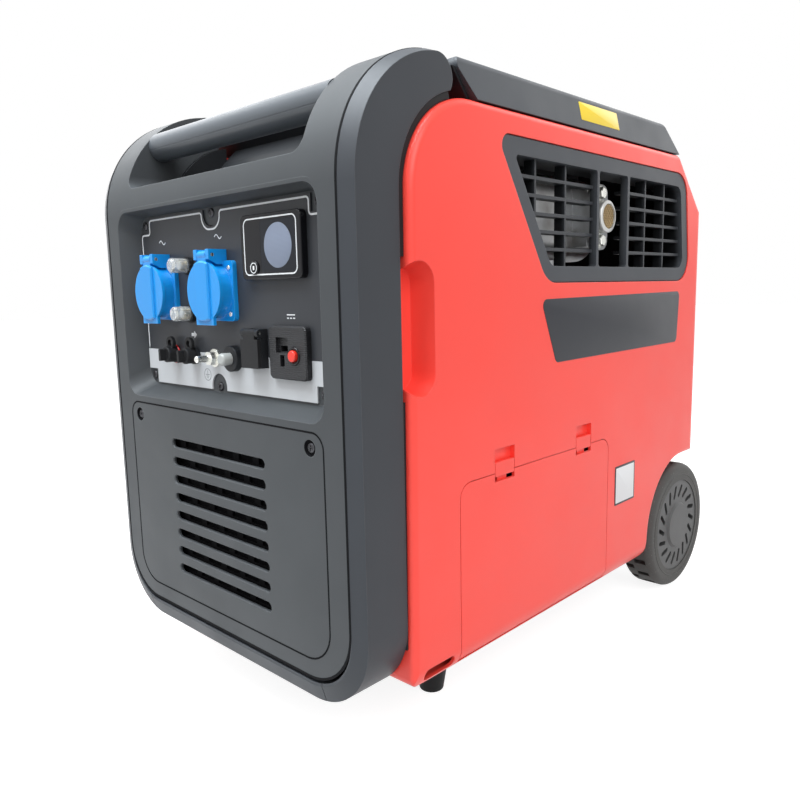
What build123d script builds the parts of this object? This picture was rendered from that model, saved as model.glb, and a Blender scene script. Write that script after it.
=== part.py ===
"""Portable inverter generator, built as separate pieces.

Millimetres, +Z up. The front faces -Y, the side with the service door is +X, and the origin
is on the floor at the middle of the outline. Depths are measured rearwards from the face of
the front fascia, and heights from a level `case_lift` above the floor.
"""
import os
from math import cos, radians, sin, sqrt

from build123d import *

os.makedirs("parts", exist_ok=True)

# Case
case_length = 572.0
case_width = 370.0
case_lift = 17.0
seam = 0.8
fit = 0.3
wall = 3.0
edge_break = 1.0

# Side panels
panel_depth = 40.0
panel_front = 52.0
panel_front_foot = 47.8
panel_top = 491.0
panel_bottom = 36.0
panel_corner_radius = 72.0
panel_edge_radius = 6.0
front_sill = 44.0
sill_rise_depth = 130.0
sill_blend_radius = 60.0
outline_radius = 8.0
tail_slope_start = 498.0
tail_slope_foot = 421.0
tail_corner_radius = 22.0
tuck_radius = 22.0

# Side grip scoops and tie slots in the panels
scoop_low = 276.0
scoop_high = 365.0
scoop_rear = 72.0
scoop_depth = 20.0
scoop_corner = 11.0
scoop_slope = 14.0
tie_slot_length = 37.0
tie_slot_height = 10.0
tie_slot_depth = 78.5
tie_slot_height_z = 50.5

# Wheels, axle and feet
wheel_radius = 75.5
wheel_width = 38.0
wheel_inset = 48.5
wheel_stand_out = 0.0
arch_clearance = 3.5
arch_offset = 8.0
arch_blend_radius = 28.0
rim_radius = 55.0
tyre_edge = 8.0
lug_count = 22
lug_groove_width = 7.0
lug_groove_depth = 5.0
lug_groove_reach = 14.0
lug_shoulder = 8.0
disc_recess = 1.0
disc_slot_count = 18
disc_slot_inner = 33.0
disc_slot_outer = 50.0
disc_slot_tilt = -28.0
disc_slot_width = 5.0
disc_slot_depth = 6.0
hub_cap_radius = 28.0
hub_cap_rise = 2.5
axle_radius = 8.0
axle_fit = 0.05
axle_cover = 12.0
axle_collar_radius = 13.0
foot_inset = 26.0
foot_depth = 142.0
foot_top_radius = 20.0
foot_tip_radius = 11.0
foot_edge = 2.0

# Base tray
tray_floor = 38.0
tray_wall_height = 34.0
tray_wall = 3.0
tray_front = 52.0
wheel_house_height = 118.0
axle_boss_radius = 18.0
axle_boss_length = 26.0

# Front frame
frame_width = 360.0
frame_depth = 46.2
frame_lip = 13.4
frame_lip_slope = 4.5
frame_bottom = 33.0
frame_bar_height = 16.0
frame_corner_radius = 62.0
frame_bar_half = 131.5
corner_gap = 5.8
band_width = 8.5
arch_joint = 300.0
arch_spring = 424.0
arch_radius = 100.0
crest_depth = 88.0
nose_tip_depth = 110.0
nose_tip_height = 508.0
nose_foot_angle = 105.0

# Fascia
cheek_width = 14.5
fascia_bottom = 53.0
fascia_corner_radius = 48.0
fascia_seam = 0.95
handle_gap_half = 128.0
handle_gap_bottom = 447.0
handle_gap_corner = 12.0

# Control pocket and plate
pocket_half = 146.0
pocket_low = 254.0
pocket_high = 426.0
pocket_radius = 16.0
pocket_draft_side = 9.5
pocket_draft_low = 10.0
pocket_draft_high = 4.0
pocket_depth = 18.5
plate_half = 134.0
plate_low = 266.0
plate_high = 420.5
plate_thickness = 1.5
plate_step_width = 15.0
plate_step_height = 13.0
plate_notch_x = -13.0
plate_notch_width = 23.0
plate_notch_height = 14.5
floor_window_half = 118.0
floor_window_low = 281.0
floor_window_high = 407.0

# Intake cover and screen
intake_margin = 22.5
intake_low = 68.0
intake_high = 247.0
intake_top_radius = 12.0
intake_foot_radius = 28.0
intake_ledge = 7.0
intake_ledge_depth = 4.0
intake_slot_count = 8
intake_slot_pitch = 17.16
intake_slot_length = 141.0
intake_slot_height = 8.0
intake_slot_middle = 154.5
intake_slot_bevel = 0.8
intake_screw_inset = 15.0
intake_screw_z = 235.5
intake_screw_recess = 6.5
intake_screw_sink = 2.2
screen_thickness = 2.0
screen_columns = 5
screen_stagger = 7.0
screen_hole_width = 20.0
screen_hole_height = 8.0

# Small fasteners
screw_head_radius = 4.0
screw_head_height = 1.4
hex_sides = 6

# Sockets and lids
socket_x = (-95.0, -3.0)
socket_z = 351.5
flange_size = 50.0
flange_radius = 4.0
flange_thickness = 4.0
flange_screw_pitch = 38.0
collar_radius = 23.0
collar_front = 4.0
cavity_radius = 19.5
cavity_depth = 18.0
barrel_radius = 21.0
barrel_depth = 48.0
contact_pitch = 19.0
contact_radius = 2.6
contact_depth = 12.0
ear_outer = 11.5
ear_inner = 6.6
ear_height = 34.5
ear_front = -0.5
lid_radius = 25.0
lid_front = -0.2
lid_thickness = 2.9
lid_rib_width = 20.0
lid_rib_rise = 2.2
lid_rib_bevel = 1.1
lid_plug_radius = 17.5
lid_plug_depth = 3.0
lid_tab_width = 26.0
lid_tab_drop = 28.0
lid_pin_depth = 3.2
lid_pin_height = 29.9
lid_pin_radius = 1.5
pin_fit = 0.05
lid_knuckle_radius = 4.0

# Breakers
breaker_x = -50.0
breaker_z = (332.5, 374.5)
breaker_body_size = 22.0
breaker_body_depth = 46.0
breaker_collar_radius = 8.0
breaker_collar_sides = 12
breaker_collar_height = 4.5
boot_radius = 6.4
boot_wall = 1.3
boot_length = 15.5
breaker_button_radius = 3.5
breaker_button_front = 5.0
breaker_button_rear = 30.0
button_bore_depth = 34.0

# Parallel jacks and caps
jack_x = (-81.0, -49.0)
jack_z = 295.0
jack_flange_radius = 8.0
jack_flange_height = 3.0
jack_bush_radius = 6.0
jack_bush_depth = 40.0
jack_bore_radius = 3.0
jack_cap_radius = 7.2
jack_cap_length = 9.0
jack_stem_length = 10.0
cap_loop_outer = 6.0
cap_loop_inner = 3.2
cap_loop_thickness = 3.0
cap_tab_length = 6.0
cap_tab_width = 3.0
cap_tab_height = 11.0
cap_tab_radius = 1.0

# Earth terminal
earth_x = -17.0
earth_z = 294.0
earth_stud_radius = 3.0
earth_stud_front = -3.0
earth_stud_rear = 40.0
earth_washer_radius = 8.0
earth_washer_height = 1.5
earth_nut_across = 11.0
earth_nut_height = 6.0

# Economy switch
eco_x = 13.0
eco_z = 295.0
eco_collar_radius = 11.0
eco_collar_height = 6.0
eco_barrel_radius = 8.8
eco_barrel_depth = 36.0
eco_button_radius = 5.2
eco_button_front = 2.0
eco_button_rear = 20.0
eco_travel = 2.0

# Data port and its flap
usb_x = 48.5
usb_low = 289.5
usb_high = 313.0
usb_width = 23.0
usb_front = 10.0
usb_depth = 34.0
usb_slot_width = 13.2
usb_slot_height = 5.6
usb_slot_pitch = 11.0
usb_slot_depth = 15.0
usb_flap_thickness = 3.2
usb_roll_radius = 3.4
usb_roll_z = 317.6
usb_roll_half = 7.5
usb_pin_radius = 1.0

# Low voltage outlet
dc_x = 91.0
dc_z = 303.2
dc_width = 46.0
dc_height = 41.5
dc_radius = 4.0
dc_front = 11.5
dc_rear = 40.0
dc_recess_x = -6.0
dc_recess_width = 15.0
dc_recess_height = 12.0
dc_recess_rise = 6.0
dc_recess_depth = 3.0
dc_flat_slot_width = 9.6
dc_flat_slot_height = 4.4
dc_flat_slot_rise = 3.0
dc_upright_slot_width = 5.3
dc_upright_slot_height = 9.0
dc_upright_slot_drop = 6.2
dc_slot_depth = 14.0
dc_button_x = 8.5
dc_button_drop = 2.0
dc_button_radius = 4.5
dc_button_front = 8.5
dc_button_rear = 22.0

# Display
display_x = 76.0
display_z = 384.8
display_width = 76.0
display_height = 50.5
display_radius = 5.0
display_front = 11.0
display_rear = 32.0
display_rear_margin = 5.0
lens_x = 10.0
lens_width = 43.0
lens_height = 39.0
lens_radius = 3.0
lens_thickness = 1.5
display_button_x = -20.0
display_button_drop = 16.0
display_button_radius = 5.4
display_button_front = 9.5
display_button_rear = 15.0
display_button_bore = 17.5

# Handle
handle_depth = 41.0
handle_height = 489.0
grip_radius = 13.0
grip_groove_width = 1.2
grip_groove_depth = 0.8
grip_groove_drop = 4.2
tube_radius = 9.0
tube_wall = 2.0
tube_reach = 20.0

# Handle well
well_thickness = 3.0
well_bend_depth = 84.0
well_bend_height = 451.5
well_shelf_depth = 112.0
well_shelf_height = 481.0
well_strip_top = 514.0
well_strip_inset = 9.0

# Top cover
cover_top = 523.0
cover_front_top = 107.0
cover_front_foot = 133.0
cover_rear_top = 470.0
cover_rear_foot = 499.0
cover_lean = 7.0
cover_side_inset = 2.0
cover_edge_radius = 7.0
dish_radius = 58.0
dish_depth = 24.0
dish_depth_from_front = 300.0

# Fuel system
tank_left = -138.0
tank_right = 78.0
tank_front = 150.0
tank_rear = 478.0
tank_low = 402.0
tank_high = 484.0
tank_radius = 22.0
neck_radius = 26.0
cap_radius = 38.0
cap_height = 20.0
cap_grip_count = 12
cap_grip_radius = 4.0
cap_skirt = 8.0

# Rear panel
rear_bottom = 74.0
rear_slot_count = 9
rear_slot_pitch = 20.0
rear_slot_length = 190.0
rear_slot_height = 9.0
rear_slot_middle = 270.0

# Louvre frame on the right side
louvre_top = 471.0
louvre_bottom = 353.5
louvre_front_top = 154.8
louvre_front_bottom = 228.6
louvre_rear_top = 516.0
louvre_rear_bottom = 531.0
louvre_small_radius = 9.0
louvre_large_radius = 26.0
louvre_rim = 14.0
louvre_face_drop = 1.0
louvre_face_depth = 8.0
louvre_flange = 6.0
louvre_bay_front = 320.0
louvre_bay_rear = 377.0
louvre_divider = 4.0
window_radius = 3.0
duct_wall = 3.0
duct_depth = 24.0
slat_count = 5
slat_thickness = 3.0
slat_depth = 11.0
slat_drop = 5.0
bar_count = 2
bar_thickness = 2.4

# Service door and latches
door_front = 105.0
door_rear = 345.0
door_top = 195.0
door_radius = 13.0
door_bead_radius = 3.5
door_bead_height = 49.5
door_pin_radius = 1.5
door_pin_length = 12.0
door_ear = 4.0
latch_depth = (165.0, 295.5)
latch_width = 27.0
latch_low = 192.4
latch_high = 204.5
latch_notch_low = 188.0
latch_pocket_high = 216.0
latch_pocket_depth = 5.0
latch_stem_low = 170.0
latch_pad_depth = 3.6
latch_stem_thickness = 3.0

# Engine, generator and starter
crank_x = -10.0
crank_z = 168.0
block_front = 252.0
block_rear = 400.0
block_left = -95.0
block_right = 70.0
block_low = 64.0
block_high = 236.0
block_radius = 14.0
barrel_top = 372.0
barrel_half = 40.0
fin_count = 7
fin_thickness = 4.0
fin_overhang = 12.0
mount_radius = 15.0
mount_inset = 24.0
shaft_radius = 11.0
shaft_fit = 0.05
housing_radius = 102.0
housing_wall = 3.0
housing_front = 150.0
housing_slot_length = 28.0
housing_slot_width = 10.0
flywheel_radius = 84.0
flywheel_front = 196.0
flywheel_rear = 240.0
fan_front = 176.0
fan_blade_count = 12
fan_blade_thickness = 4.0
fan_hub_radius = 40.0
pulley_radius = 46.0
pulley_core_radius = 36.0
pulley_front = 156.0
pulley_width = 12.0
pulley_flange = 2.5
pulley_boss_radius = 9.0
rope_radius = 2.5
rope_slack = 0.6
starter_pull = 80.0
starter_slot_length = 108.0
starter_slot_height = 44.0
starter_pocket_depth = 22.0
starter_grip_length = 84.0
starter_grip_height = 24.0
starter_grip_depth = 20.0
starter_grip_round = 6.0
starter_eye_radius = 5.0
knob_depth = 210.0
knob_height = 330.0
knob_radius = 24.0
knob_rise = 7.0
knob_rib_width = 10.0
knob_rib_length = 42.0
knob_rib_rise = 9.0
knob_dish_radius = 30.0
knob_dish_depth = 14.0
knob_stem_radius = 6.0
knob_stem_length = 14.0

# Muffler and outlet
muffler_front = 196.0
muffler_rear = 376.0
muffler_x = 118.0
muffler_z = 417.0
muffler_half_width = 30.0
muffler_half_height = 42.0
muffler_radius = 24.0
outlet_depth = 349.0
outlet_front = 178.0
outlet_radius = 15.5
outlet_bore = 12.0
outlet_flange_width = 34.0
outlet_flange_height = 64.0
outlet_flange_thickness = 4.0
outlet_flange_radius = 11.0
outlet_bolt_pitch = 46.0
outlet_bolt_radius = 5.0
outlet_bolt_height = 5.0
outlet_box_reach = 16.0
exhaust_pipe_radius = 13.0
exhaust_pipe_bend = 22.0
exhaust_port_z = 345.0

# Inverter, air cleaner and oil filler
inverter_half = 108.0
inverter_front = 66.0
inverter_rear = 104.0
inverter_top = 236.0
inverter_fin_count = 14
inverter_fin_thickness = 3.0
inverter_fin_depth = 22.0
cleaner_front = 262.0
cleaner_rear = 336.0
cleaner_low = 110.0
cleaner_high = 190.0
cleaner_reach = 66.0
cleaner_radius = 9.0
oil_depth = 300.0
oil_height = 88.0
oil_cap_radius = 15.0
oil_cap_height = 14.0
oil_stick_radius = 5.0
oil_stick_length = 40.0
oil_rib_count = 10
oil_rib_radius = 2.2

# Values that follow from the sizes above
wheel_depth = case_length - wheel_inset
wheel_height = wheel_radius - case_lift
rear_end = wheel_depth + wheel_radius
fascia_y = -(rear_end + earth_stud_front) / 2
case_half = case_width / 2
panel_inner = case_half - panel_depth
frame_half = frame_width / 2
fascia_width = frame_width - 2 * cheek_width
fascia_half = fascia_width / 2
intake_half = fascia_half - intake_margin
intake_screw_x = intake_half - intake_screw_inset
frame_inner = fascia_half + fascia_seam
arch_cut_radius = wheel_radius + arch_clearance + arch_offset
arch_depth = wheel_depth + arch_offset
rear_sill = wheel_height + arch_cut_radius
plate_front = pocket_depth - plate_thickness
wheel_outer = case_half + wheel_stand_out
wheel_inner = wheel_outer - wheel_width
over = 1.0


def front_plane(depth: float) -> Plane:
    """Plane facing the user, local axes X and Z, `depth` behind the fascia face."""
    return Plane(origin=(0, fascia_y + depth, case_lift), x_dir=(1, 0, 0), z_dir=(0, -1, 0))


def side_plane(x: float) -> Plane:
    """Plane facing +X, local axes depth and Z, at the given X."""
    return Plane(origin=(x, fascia_y, case_lift), x_dir=(0, 1, 0), z_dir=(1, 0, 0))


def plan_plane(z: float) -> Plane:
    """Plane facing up, local axes X and depth, at the given height."""
    return Plane(origin=(0, fascia_y, case_lift + z), x_dir=(1, 0, 0), z_dir=(0, 0, 1))


def save(name: str, piece: BuildPart) -> None:
    """Label one finished piece and write it to its own STEP file."""
    piece.part.label = name
    export_step(piece.part, f"parts/{name}.step")


# Shared outlines

arch_foot_depth = arch_depth - sqrt(arch_cut_radius**2 - (wheel_height - panel_bottom) ** 2)
corner_depth = panel_front + panel_corner_radius
corner_height = panel_top - panel_corner_radius

with BuildSketch() as panel_outline:
    with BuildLine():
        Polyline((panel_front_foot, front_sill), (panel_front, corner_height))
        CenterArc((corner_depth, corner_height), panel_corner_radius, 180, -90)
        Polyline(
            (corner_depth, panel_top),
            (tail_slope_start, panel_top),
            (case_length, tail_slope_foot),
            (case_length, rear_sill),
            (arch_depth, rear_sill),
        )
        ThreePointArc(
            (arch_depth, rear_sill),
            (arch_depth - arch_cut_radius, wheel_height),
            (arch_foot_depth, panel_bottom),
        )
        Polyline(
            (arch_foot_depth, panel_bottom),
            (sill_rise_depth, panel_bottom),
            (panel_front_foot, front_sill),
        )
    make_face()
    sharp = [
        (panel_front_foot, front_sill),
        (tail_slope_start, panel_top),
        (case_length, tail_slope_foot),
        (case_length, rear_sill),
    ]
    for spot in sharp:
        fillet(panel_outline.vertices().sort_by_distance((*spot, 0))[0], outline_radius)
    knee = panel_outline.vertices().sort_by_distance((sill_rise_depth, panel_bottom, 0))[0]
    fillet(knee, sill_blend_radius)
    arch_foot = panel_outline.vertices().sort_by_distance((arch_foot_depth, panel_bottom, 0))[0]
    fillet(arch_foot, arch_blend_radius)

notch_radius = panel_corner_radius + corner_gap
nose_foot = (
    corner_depth + notch_radius * cos(radians(nose_foot_angle)),
    corner_height + notch_radius * sin(radians(nose_foot_angle)),
)
arch_middle = radians(135)


def arch_profile(inset: float, foot: float) -> Sketch:
    """Side outline of the front arch above `foot`, its front and crest drawn in by `inset`."""
    radius = arch_radius - inset
    crest = arch_spring + sqrt(radius**2 - (arch_radius - crest_depth) ** 2)
    with BuildSketch() as profile:
        with BuildLine():
            Line((inset, foot), (inset, arch_spring))
            ThreePointArc(
                (inset, arch_spring),
                (arch_radius + radius * cos(arch_middle), arch_spring + radius * sin(arch_middle)),
                (crest_depth, crest),
            )
            ThreePointArc((crest_depth, crest), (nose_tip_depth - inset, nose_tip_height), nose_foot)
            CenterArc(
                (corner_depth, corner_height), notch_radius, nose_foot_angle, 180 - nose_foot_angle
            )
            Polyline(
                (corner_depth - notch_radius, corner_height),
                (corner_depth - notch_radius, foot),
                (inset, foot),
            )
        make_face()
    return profile.sketch


with BuildSketch() as door_outline:
    with BuildLine():
        Polyline(
            (door_front, door_bead_height),
            (door_front, door_top),
            (door_rear, door_top),
            (door_rear, door_bead_height),
            close=True,
        )
    make_face()
    fillet(door_outline.vertices().group_by(Axis.Y)[-1], door_radius)

with BuildSketch() as louvre_outline:
    with BuildLine():
        Polyline(
            (louvre_front_bottom, louvre_bottom),
            (louvre_front_top, louvre_top),
            (louvre_rear_top, louvre_top),
            (louvre_rear_bottom, louvre_bottom),
            close=True,
        )
    make_face()
    louvre_nose = louvre_outline.vertices().sort_by(Axis.X)[0]
    fillet(louvre_nose, louvre_small_radius)
    for spot in (
        (louvre_front_bottom, louvre_bottom),
        (louvre_rear_top, louvre_top),
        (louvre_rear_bottom, louvre_bottom),
    ):
        fillet(louvre_outline.vertices().sort_by_distance((*spot, 0))[0], louvre_large_radius)

intake_height = intake_high - intake_low
with BuildSketch() as intake_outline:
    with Locations((0, (intake_high + intake_low) / 2)):
        Rectangle(2 * intake_half, intake_height)
    fillet(intake_outline.vertices().group_by(Axis.Y)[-1], intake_top_radius)
    fillet(intake_outline.vertices().group_by(Axis.Y)[0], intake_foot_radius)


# Side panels

def panel_block(inset: float) -> Part:
    """Solid form of the right side panel, drawn in by `inset` on every outer face."""
    start = panel_inner - (over if inset else 0)
    block_top = panel_top + tuck_radius
    with BuildPart() as block:
        with BuildSketch(side_plane(start)):
            add(panel_outline.sketch)
            if inset:
                offset(amount=-inset)
        extrude(amount=case_half - inset - start)
        outer_face = block.faces().sort_by(Axis.X)[-1]
        fillet(outer_face.edges(), panel_edge_radius - inset)
        with BuildSketch(front_plane(0)):
            with Locations(((start + case_half - inset) / 2 - over, (panel_bottom + block_top) / 2)):
                tuck = Rectangle(
                    case_half - inset - start + 2 * over, block_top - panel_bottom - 2 * inset
                )
            corner = tuck.vertices().sort_by_distance((case_half, panel_bottom, 0))[0]
            fillet(corner, tuck_radius - inset)
        extrude(amount=-case_length, mode=Mode.INTERSECT)
        with BuildSketch(plan_plane(0)):
            with Locations(((start + case_half - inset) / 2 - over, case_length / 2)):
                plan = Rectangle(case_half - inset - start + 2 * over, case_length - 2 * inset)
            corner = plan.vertices().sort_by_distance((case_half, case_length, 0))[0]
            fillet(corner, tail_corner_radius - inset)
        extrude(amount=block_top, mode=Mode.INTERSECT)
    return block.part


panel_solid = panel_block(0)
panel_hollow = panel_block(wall)
scoop_floor = case_half - scoop_depth
scoop_middle = (scoop_low + scoop_high) / 2
scoop_height = scoop_high - scoop_low

with BuildPart() as panel_shell:
    add(panel_solid)
    add(panel_hollow, mode=Mode.SUBTRACT)
    # Pocket that lets fingers reach behind the rear edge of the front frame
    with BuildSketch(side_plane(scoop_floor - wall)):
        with Locations(((panel_front + scoop_rear) / 2 + wall, scoop_middle)):
            Rectangle(scoop_rear - panel_front + 2 * wall, scoop_height + 4 * wall)
    extrude(amount=scoop_depth)
    with BuildSketch(side_plane(scoop_floor)) as scoop_mouth:
        with Locations(((panel_front - wall + scoop_rear) / 2, scoop_middle)):
            Rectangle(scoop_rear - panel_front + wall, scoop_height)
        fillet(scoop_mouth.vertices(), scoop_corner)
    extrude(amount=scoop_depth + over, taper=-scoop_slope, mode=Mode.SUBTRACT)
    # Tie-down slot low at the front
    with BuildSketch(side_plane(panel_inner)):
        with Locations((tie_slot_depth, tie_slot_height_z)):
            SlotOverall(tie_slot_length, tie_slot_height)
    extrude(amount=panel_depth + over, mode=Mode.SUBTRACT)

tuck_x = case_half - tuck_radius
tuck_z = panel_bottom + tuck_radius
bead_x = tuck_x + sqrt((tuck_radius - door_bead_radius) ** 2 - (tuck_z - door_bead_height) ** 2)
pocket_width = latch_width + 2 * seam
pocket_floor_x = case_half - latch_pocket_depth
with BuildPart() as right_side_panel:
    add(panel_shell.part)
    # Latch pockets above the door
    for latch in latch_depth:
        with BuildSketch(side_plane(pocket_floor_x - wall)):
            with Locations((latch, (door_top + latch_pocket_high) / 2 + wall / 2)):
                Rectangle(pocket_width + 2 * wall, latch_pocket_high - door_top + wall)
        extrude(amount=latch_pocket_depth)
        with BuildSketch(side_plane(pocket_floor_x)):
            with Locations((latch, (door_top + latch_pocket_high) / 2)):
                Rectangle(pocket_width, latch_pocket_high - door_top)
        extrude(amount=latch_pocket_depth + over, mode=Mode.SUBTRACT)
    # Ears that carry the door pins
    for end in (door_front - seam - door_ear, door_rear + seam):
        with BuildSketch(front_plane(end)):
            with Locations((bead_x, door_bead_height)):
                Circle(door_bead_radius)
        extrude(amount=-door_ear)
    with BuildSketch(front_plane(door_front - seam - door_ear)):
        with Locations((bead_x, door_bead_height)):
            Circle(door_pin_radius)
    extrude(amount=door_front - door_rear - 2 * (seam + door_ear), mode=Mode.SUBTRACT)
    # Door opening, with room for the hinge bead along its foot
    with BuildSketch(side_plane(panel_inner)):
        add(door_outline.sketch)
        with Locations(((door_front + door_rear) / 2, door_bead_height)):
            Rectangle(door_rear - door_front, 2 * (door_bead_radius + seam))
        offset(amount=seam)
    extrude(amount=panel_depth + over, mode=Mode.SUBTRACT)
    # Louvre opening
    with BuildSketch(side_plane(panel_inner)):
        add(louvre_outline.sketch)
        offset(amount=seam)
    extrude(amount=panel_depth + over, mode=Mode.SUBTRACT)
save("right_side_panel", right_side_panel)

starter_z = crank_z + pulley_core_radius + rope_radius + rope_slack
starter_depth = pulley_front + pulley_width / 2
starter_floor = case_half - starter_pocket_depth
with BuildPart() as left_side_panel:
    mirror(panel_shell.part, about=Plane.YZ)
    # Dished pocket round the starter grip
    with BuildSketch(side_plane(-starter_floor + wall)):
        with Locations((starter_depth, starter_z)):
            SlotOverall(starter_slot_length + 2 * wall, starter_slot_height + 2 * wall)
    extrude(amount=-starter_pocket_depth)
    with BuildSketch(side_plane(-starter_floor)):
        with Locations((starter_depth, starter_z)):
            SlotOverall(starter_slot_length, starter_slot_height)
    extrude(amount=-starter_pocket_depth - over, mode=Mode.SUBTRACT)
    with BuildSketch(side_plane(-starter_floor + wall)):
        with Locations((starter_depth, starter_z)):
            Circle(starter_eye_radius)
    extrude(amount=-2 * wall, mode=Mode.SUBTRACT)
    # Round dish for the engine control knob
    with BuildSketch(side_plane(-case_half + knob_dish_depth + wall)):
        with Locations((knob_depth, knob_height)):
            Circle(knob_dish_radius + wall)
    extrude(amount=-knob_dish_depth)
    with BuildSketch(side_plane(-case_half + knob_dish_depth)):
        with Locations((knob_depth, knob_height)):
            Circle(knob_dish_radius)
    extrude(amount=-knob_dish_depth - over, mode=Mode.SUBTRACT)
    with BuildSketch(side_plane(-case_half + knob_dish_depth + wall)):
        with Locations((knob_depth, knob_height)):
            Circle(knob_stem_radius + fit)
    extrude(amount=-2 * wall, mode=Mode.SUBTRACT)
save("left_side_panel", left_side_panel)

# Front frame

frame_inner_low = frame_bottom + frame_bar_height
lip_flat = frame_half - frame_inner - frame_lip
nose_cos = cos(radians(nose_foot_angle))
nose_sin = sin(radians(nose_foot_angle))
band_inner = panel_corner_radius + seam
band_outer = notch_radius + wall
band_front = corner_depth - band_outer
band_foot = frame_bottom + frame_corner_radius
front_lean = (panel_front - panel_front_foot) / (corner_height - front_sill)
band_foot_depth = panel_front_foot + front_lean * (band_foot - front_sill) - seam
with BuildPart() as frame_ring:
    with BuildSketch(front_plane(0)) as ring:
        with Locations((0, (frame_bottom + arch_joint) / 2)):
            Rectangle(frame_width, arch_joint - frame_bottom)
        fillet(ring.vertices().group_by(Axis.Y)[0], frame_corner_radius)
    extrude(amount=-frame_depth)
    ring_face = frame_ring.faces().sort_by(Axis.Y)[0]
    ring_edges = ring_face.edges().sort_by(Axis.Z)[:-1]
    chamfer(ring_edges, length=frame_lip, length2=frame_lip_slope, reference=ring_face)
    with BuildSketch(front_plane(0)) as ring_window:
        with Locations((0, (frame_inner_low + arch_joint) / 2)):
            Rectangle(2 * frame_inner, arch_joint - frame_inner_low)
        fillet(ring_window.vertices().group_by(Axis.Y)[0], fascia_corner_radius)
    extrude(amount=-frame_depth, mode=Mode.SUBTRACT)

with BuildPart() as front_frame_right:
    add(frame_ring.part)
    split(bisect_by=Plane.YZ.offset(frame_bar_half + seam / 2), keep=Keep.TOP)
    with BuildSketch(side_plane(frame_inner)):
        add(arch_profile(0, arch_joint))
    extrude(amount=lip_flat)
    with BuildSketch(side_plane(frame_inner + lip_flat)):
        add(arch_profile(0, arch_joint))
    with BuildSketch(side_plane(frame_half)):
        add(arch_profile(frame_lip_slope, arch_joint))
    loft(ruled=True)
    # Recessed strip that closes the gap ahead of the side panel
    with BuildSketch(side_plane(frame_inner)):
        with BuildLine():
            Polyline(
                (band_front, corner_height),
                (band_front, band_foot),
                (band_foot_depth, band_foot),
                (panel_front - seam, corner_height),
            )
            CenterArc((corner_depth, corner_height), band_inner, 180, nose_foot_angle - 180)
            Line(
                (corner_depth + band_inner * nose_cos, corner_height + band_inner * nose_sin),
                (corner_depth + band_outer * nose_cos, corner_height + band_outer * nose_sin),
            )
            CenterArc((corner_depth, corner_height), band_outer, nose_foot_angle, 180 - nose_foot_angle)
        make_face()
    extrude(amount=band_width)
save("front_frame_right", front_frame_right)

with BuildPart() as front_frame_left:
    mirror(front_frame_right.part, about=Plane.YZ)
save("front_frame_left", front_frame_left)

with BuildPart() as front_lower_bar:
    add(frame_ring.part)
    split(bisect_by=Plane.YZ.offset(frame_bar_half - seam / 2), keep=Keep.BOTTOM)
    split(bisect_by=Plane.YZ.offset(-frame_bar_half + seam / 2), keep=Keep.TOP)
save("front_lower_bar", front_lower_bar)

# Fascia with its control pocket and intake opening

with BuildSketch() as fascia_outline:
    with Locations((0, (fascia_bottom + cover_top) / 2 + over)):
        Rectangle(fascia_width, cover_top - fascia_bottom + 4 * over)
    fillet(fascia_outline.vertices().group_by(Axis.Y)[0], fascia_corner_radius)
with BuildSketch() as handle_window:
    with Locations((0, (handle_gap_bottom + cover_top) / 2 + 2 * over)):
        Rectangle(2 * handle_gap_half, cover_top - handle_gap_bottom + 4 * over)
    fillet(handle_window.vertices().group_by(Axis.Y)[0], handle_gap_corner)

with BuildPart() as fascia_core:
    with BuildSketch(side_plane(-fascia_half + wall)):
        add(arch_profile(wall, fascia_bottom + wall))
        with Locations((frame_depth, (fascia_bottom + corner_height) / 2)):
            Rectangle(4 * wall, corner_height - fascia_bottom - 2 * wall)
    extrude(amount=fascia_width - 2 * wall)
    with BuildSketch(front_plane(0)):
        add(fascia_outline.sketch)
        add(handle_window.sketch, mode=Mode.SUBTRACT)
        offset(amount=-wall)
    extrude(amount=-nose_tip_depth - wall, mode=Mode.INTERSECT)


def pocket_section(depth: float, grow: float) -> Sketch:
    """Section of the control pocket at `depth`, `grow` wider all round."""
    share = depth / pocket_depth
    low = pocket_low + pocket_draft_low * share - grow
    high = pocket_high - pocket_draft_high * share + grow
    half = pocket_half - pocket_draft_side * share + grow
    with BuildSketch() as section:
        with Locations((0, (low + high) / 2)):
            RectangleRounded(2 * half, high - low, pocket_radius + grow)
    return section.sketch


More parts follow.
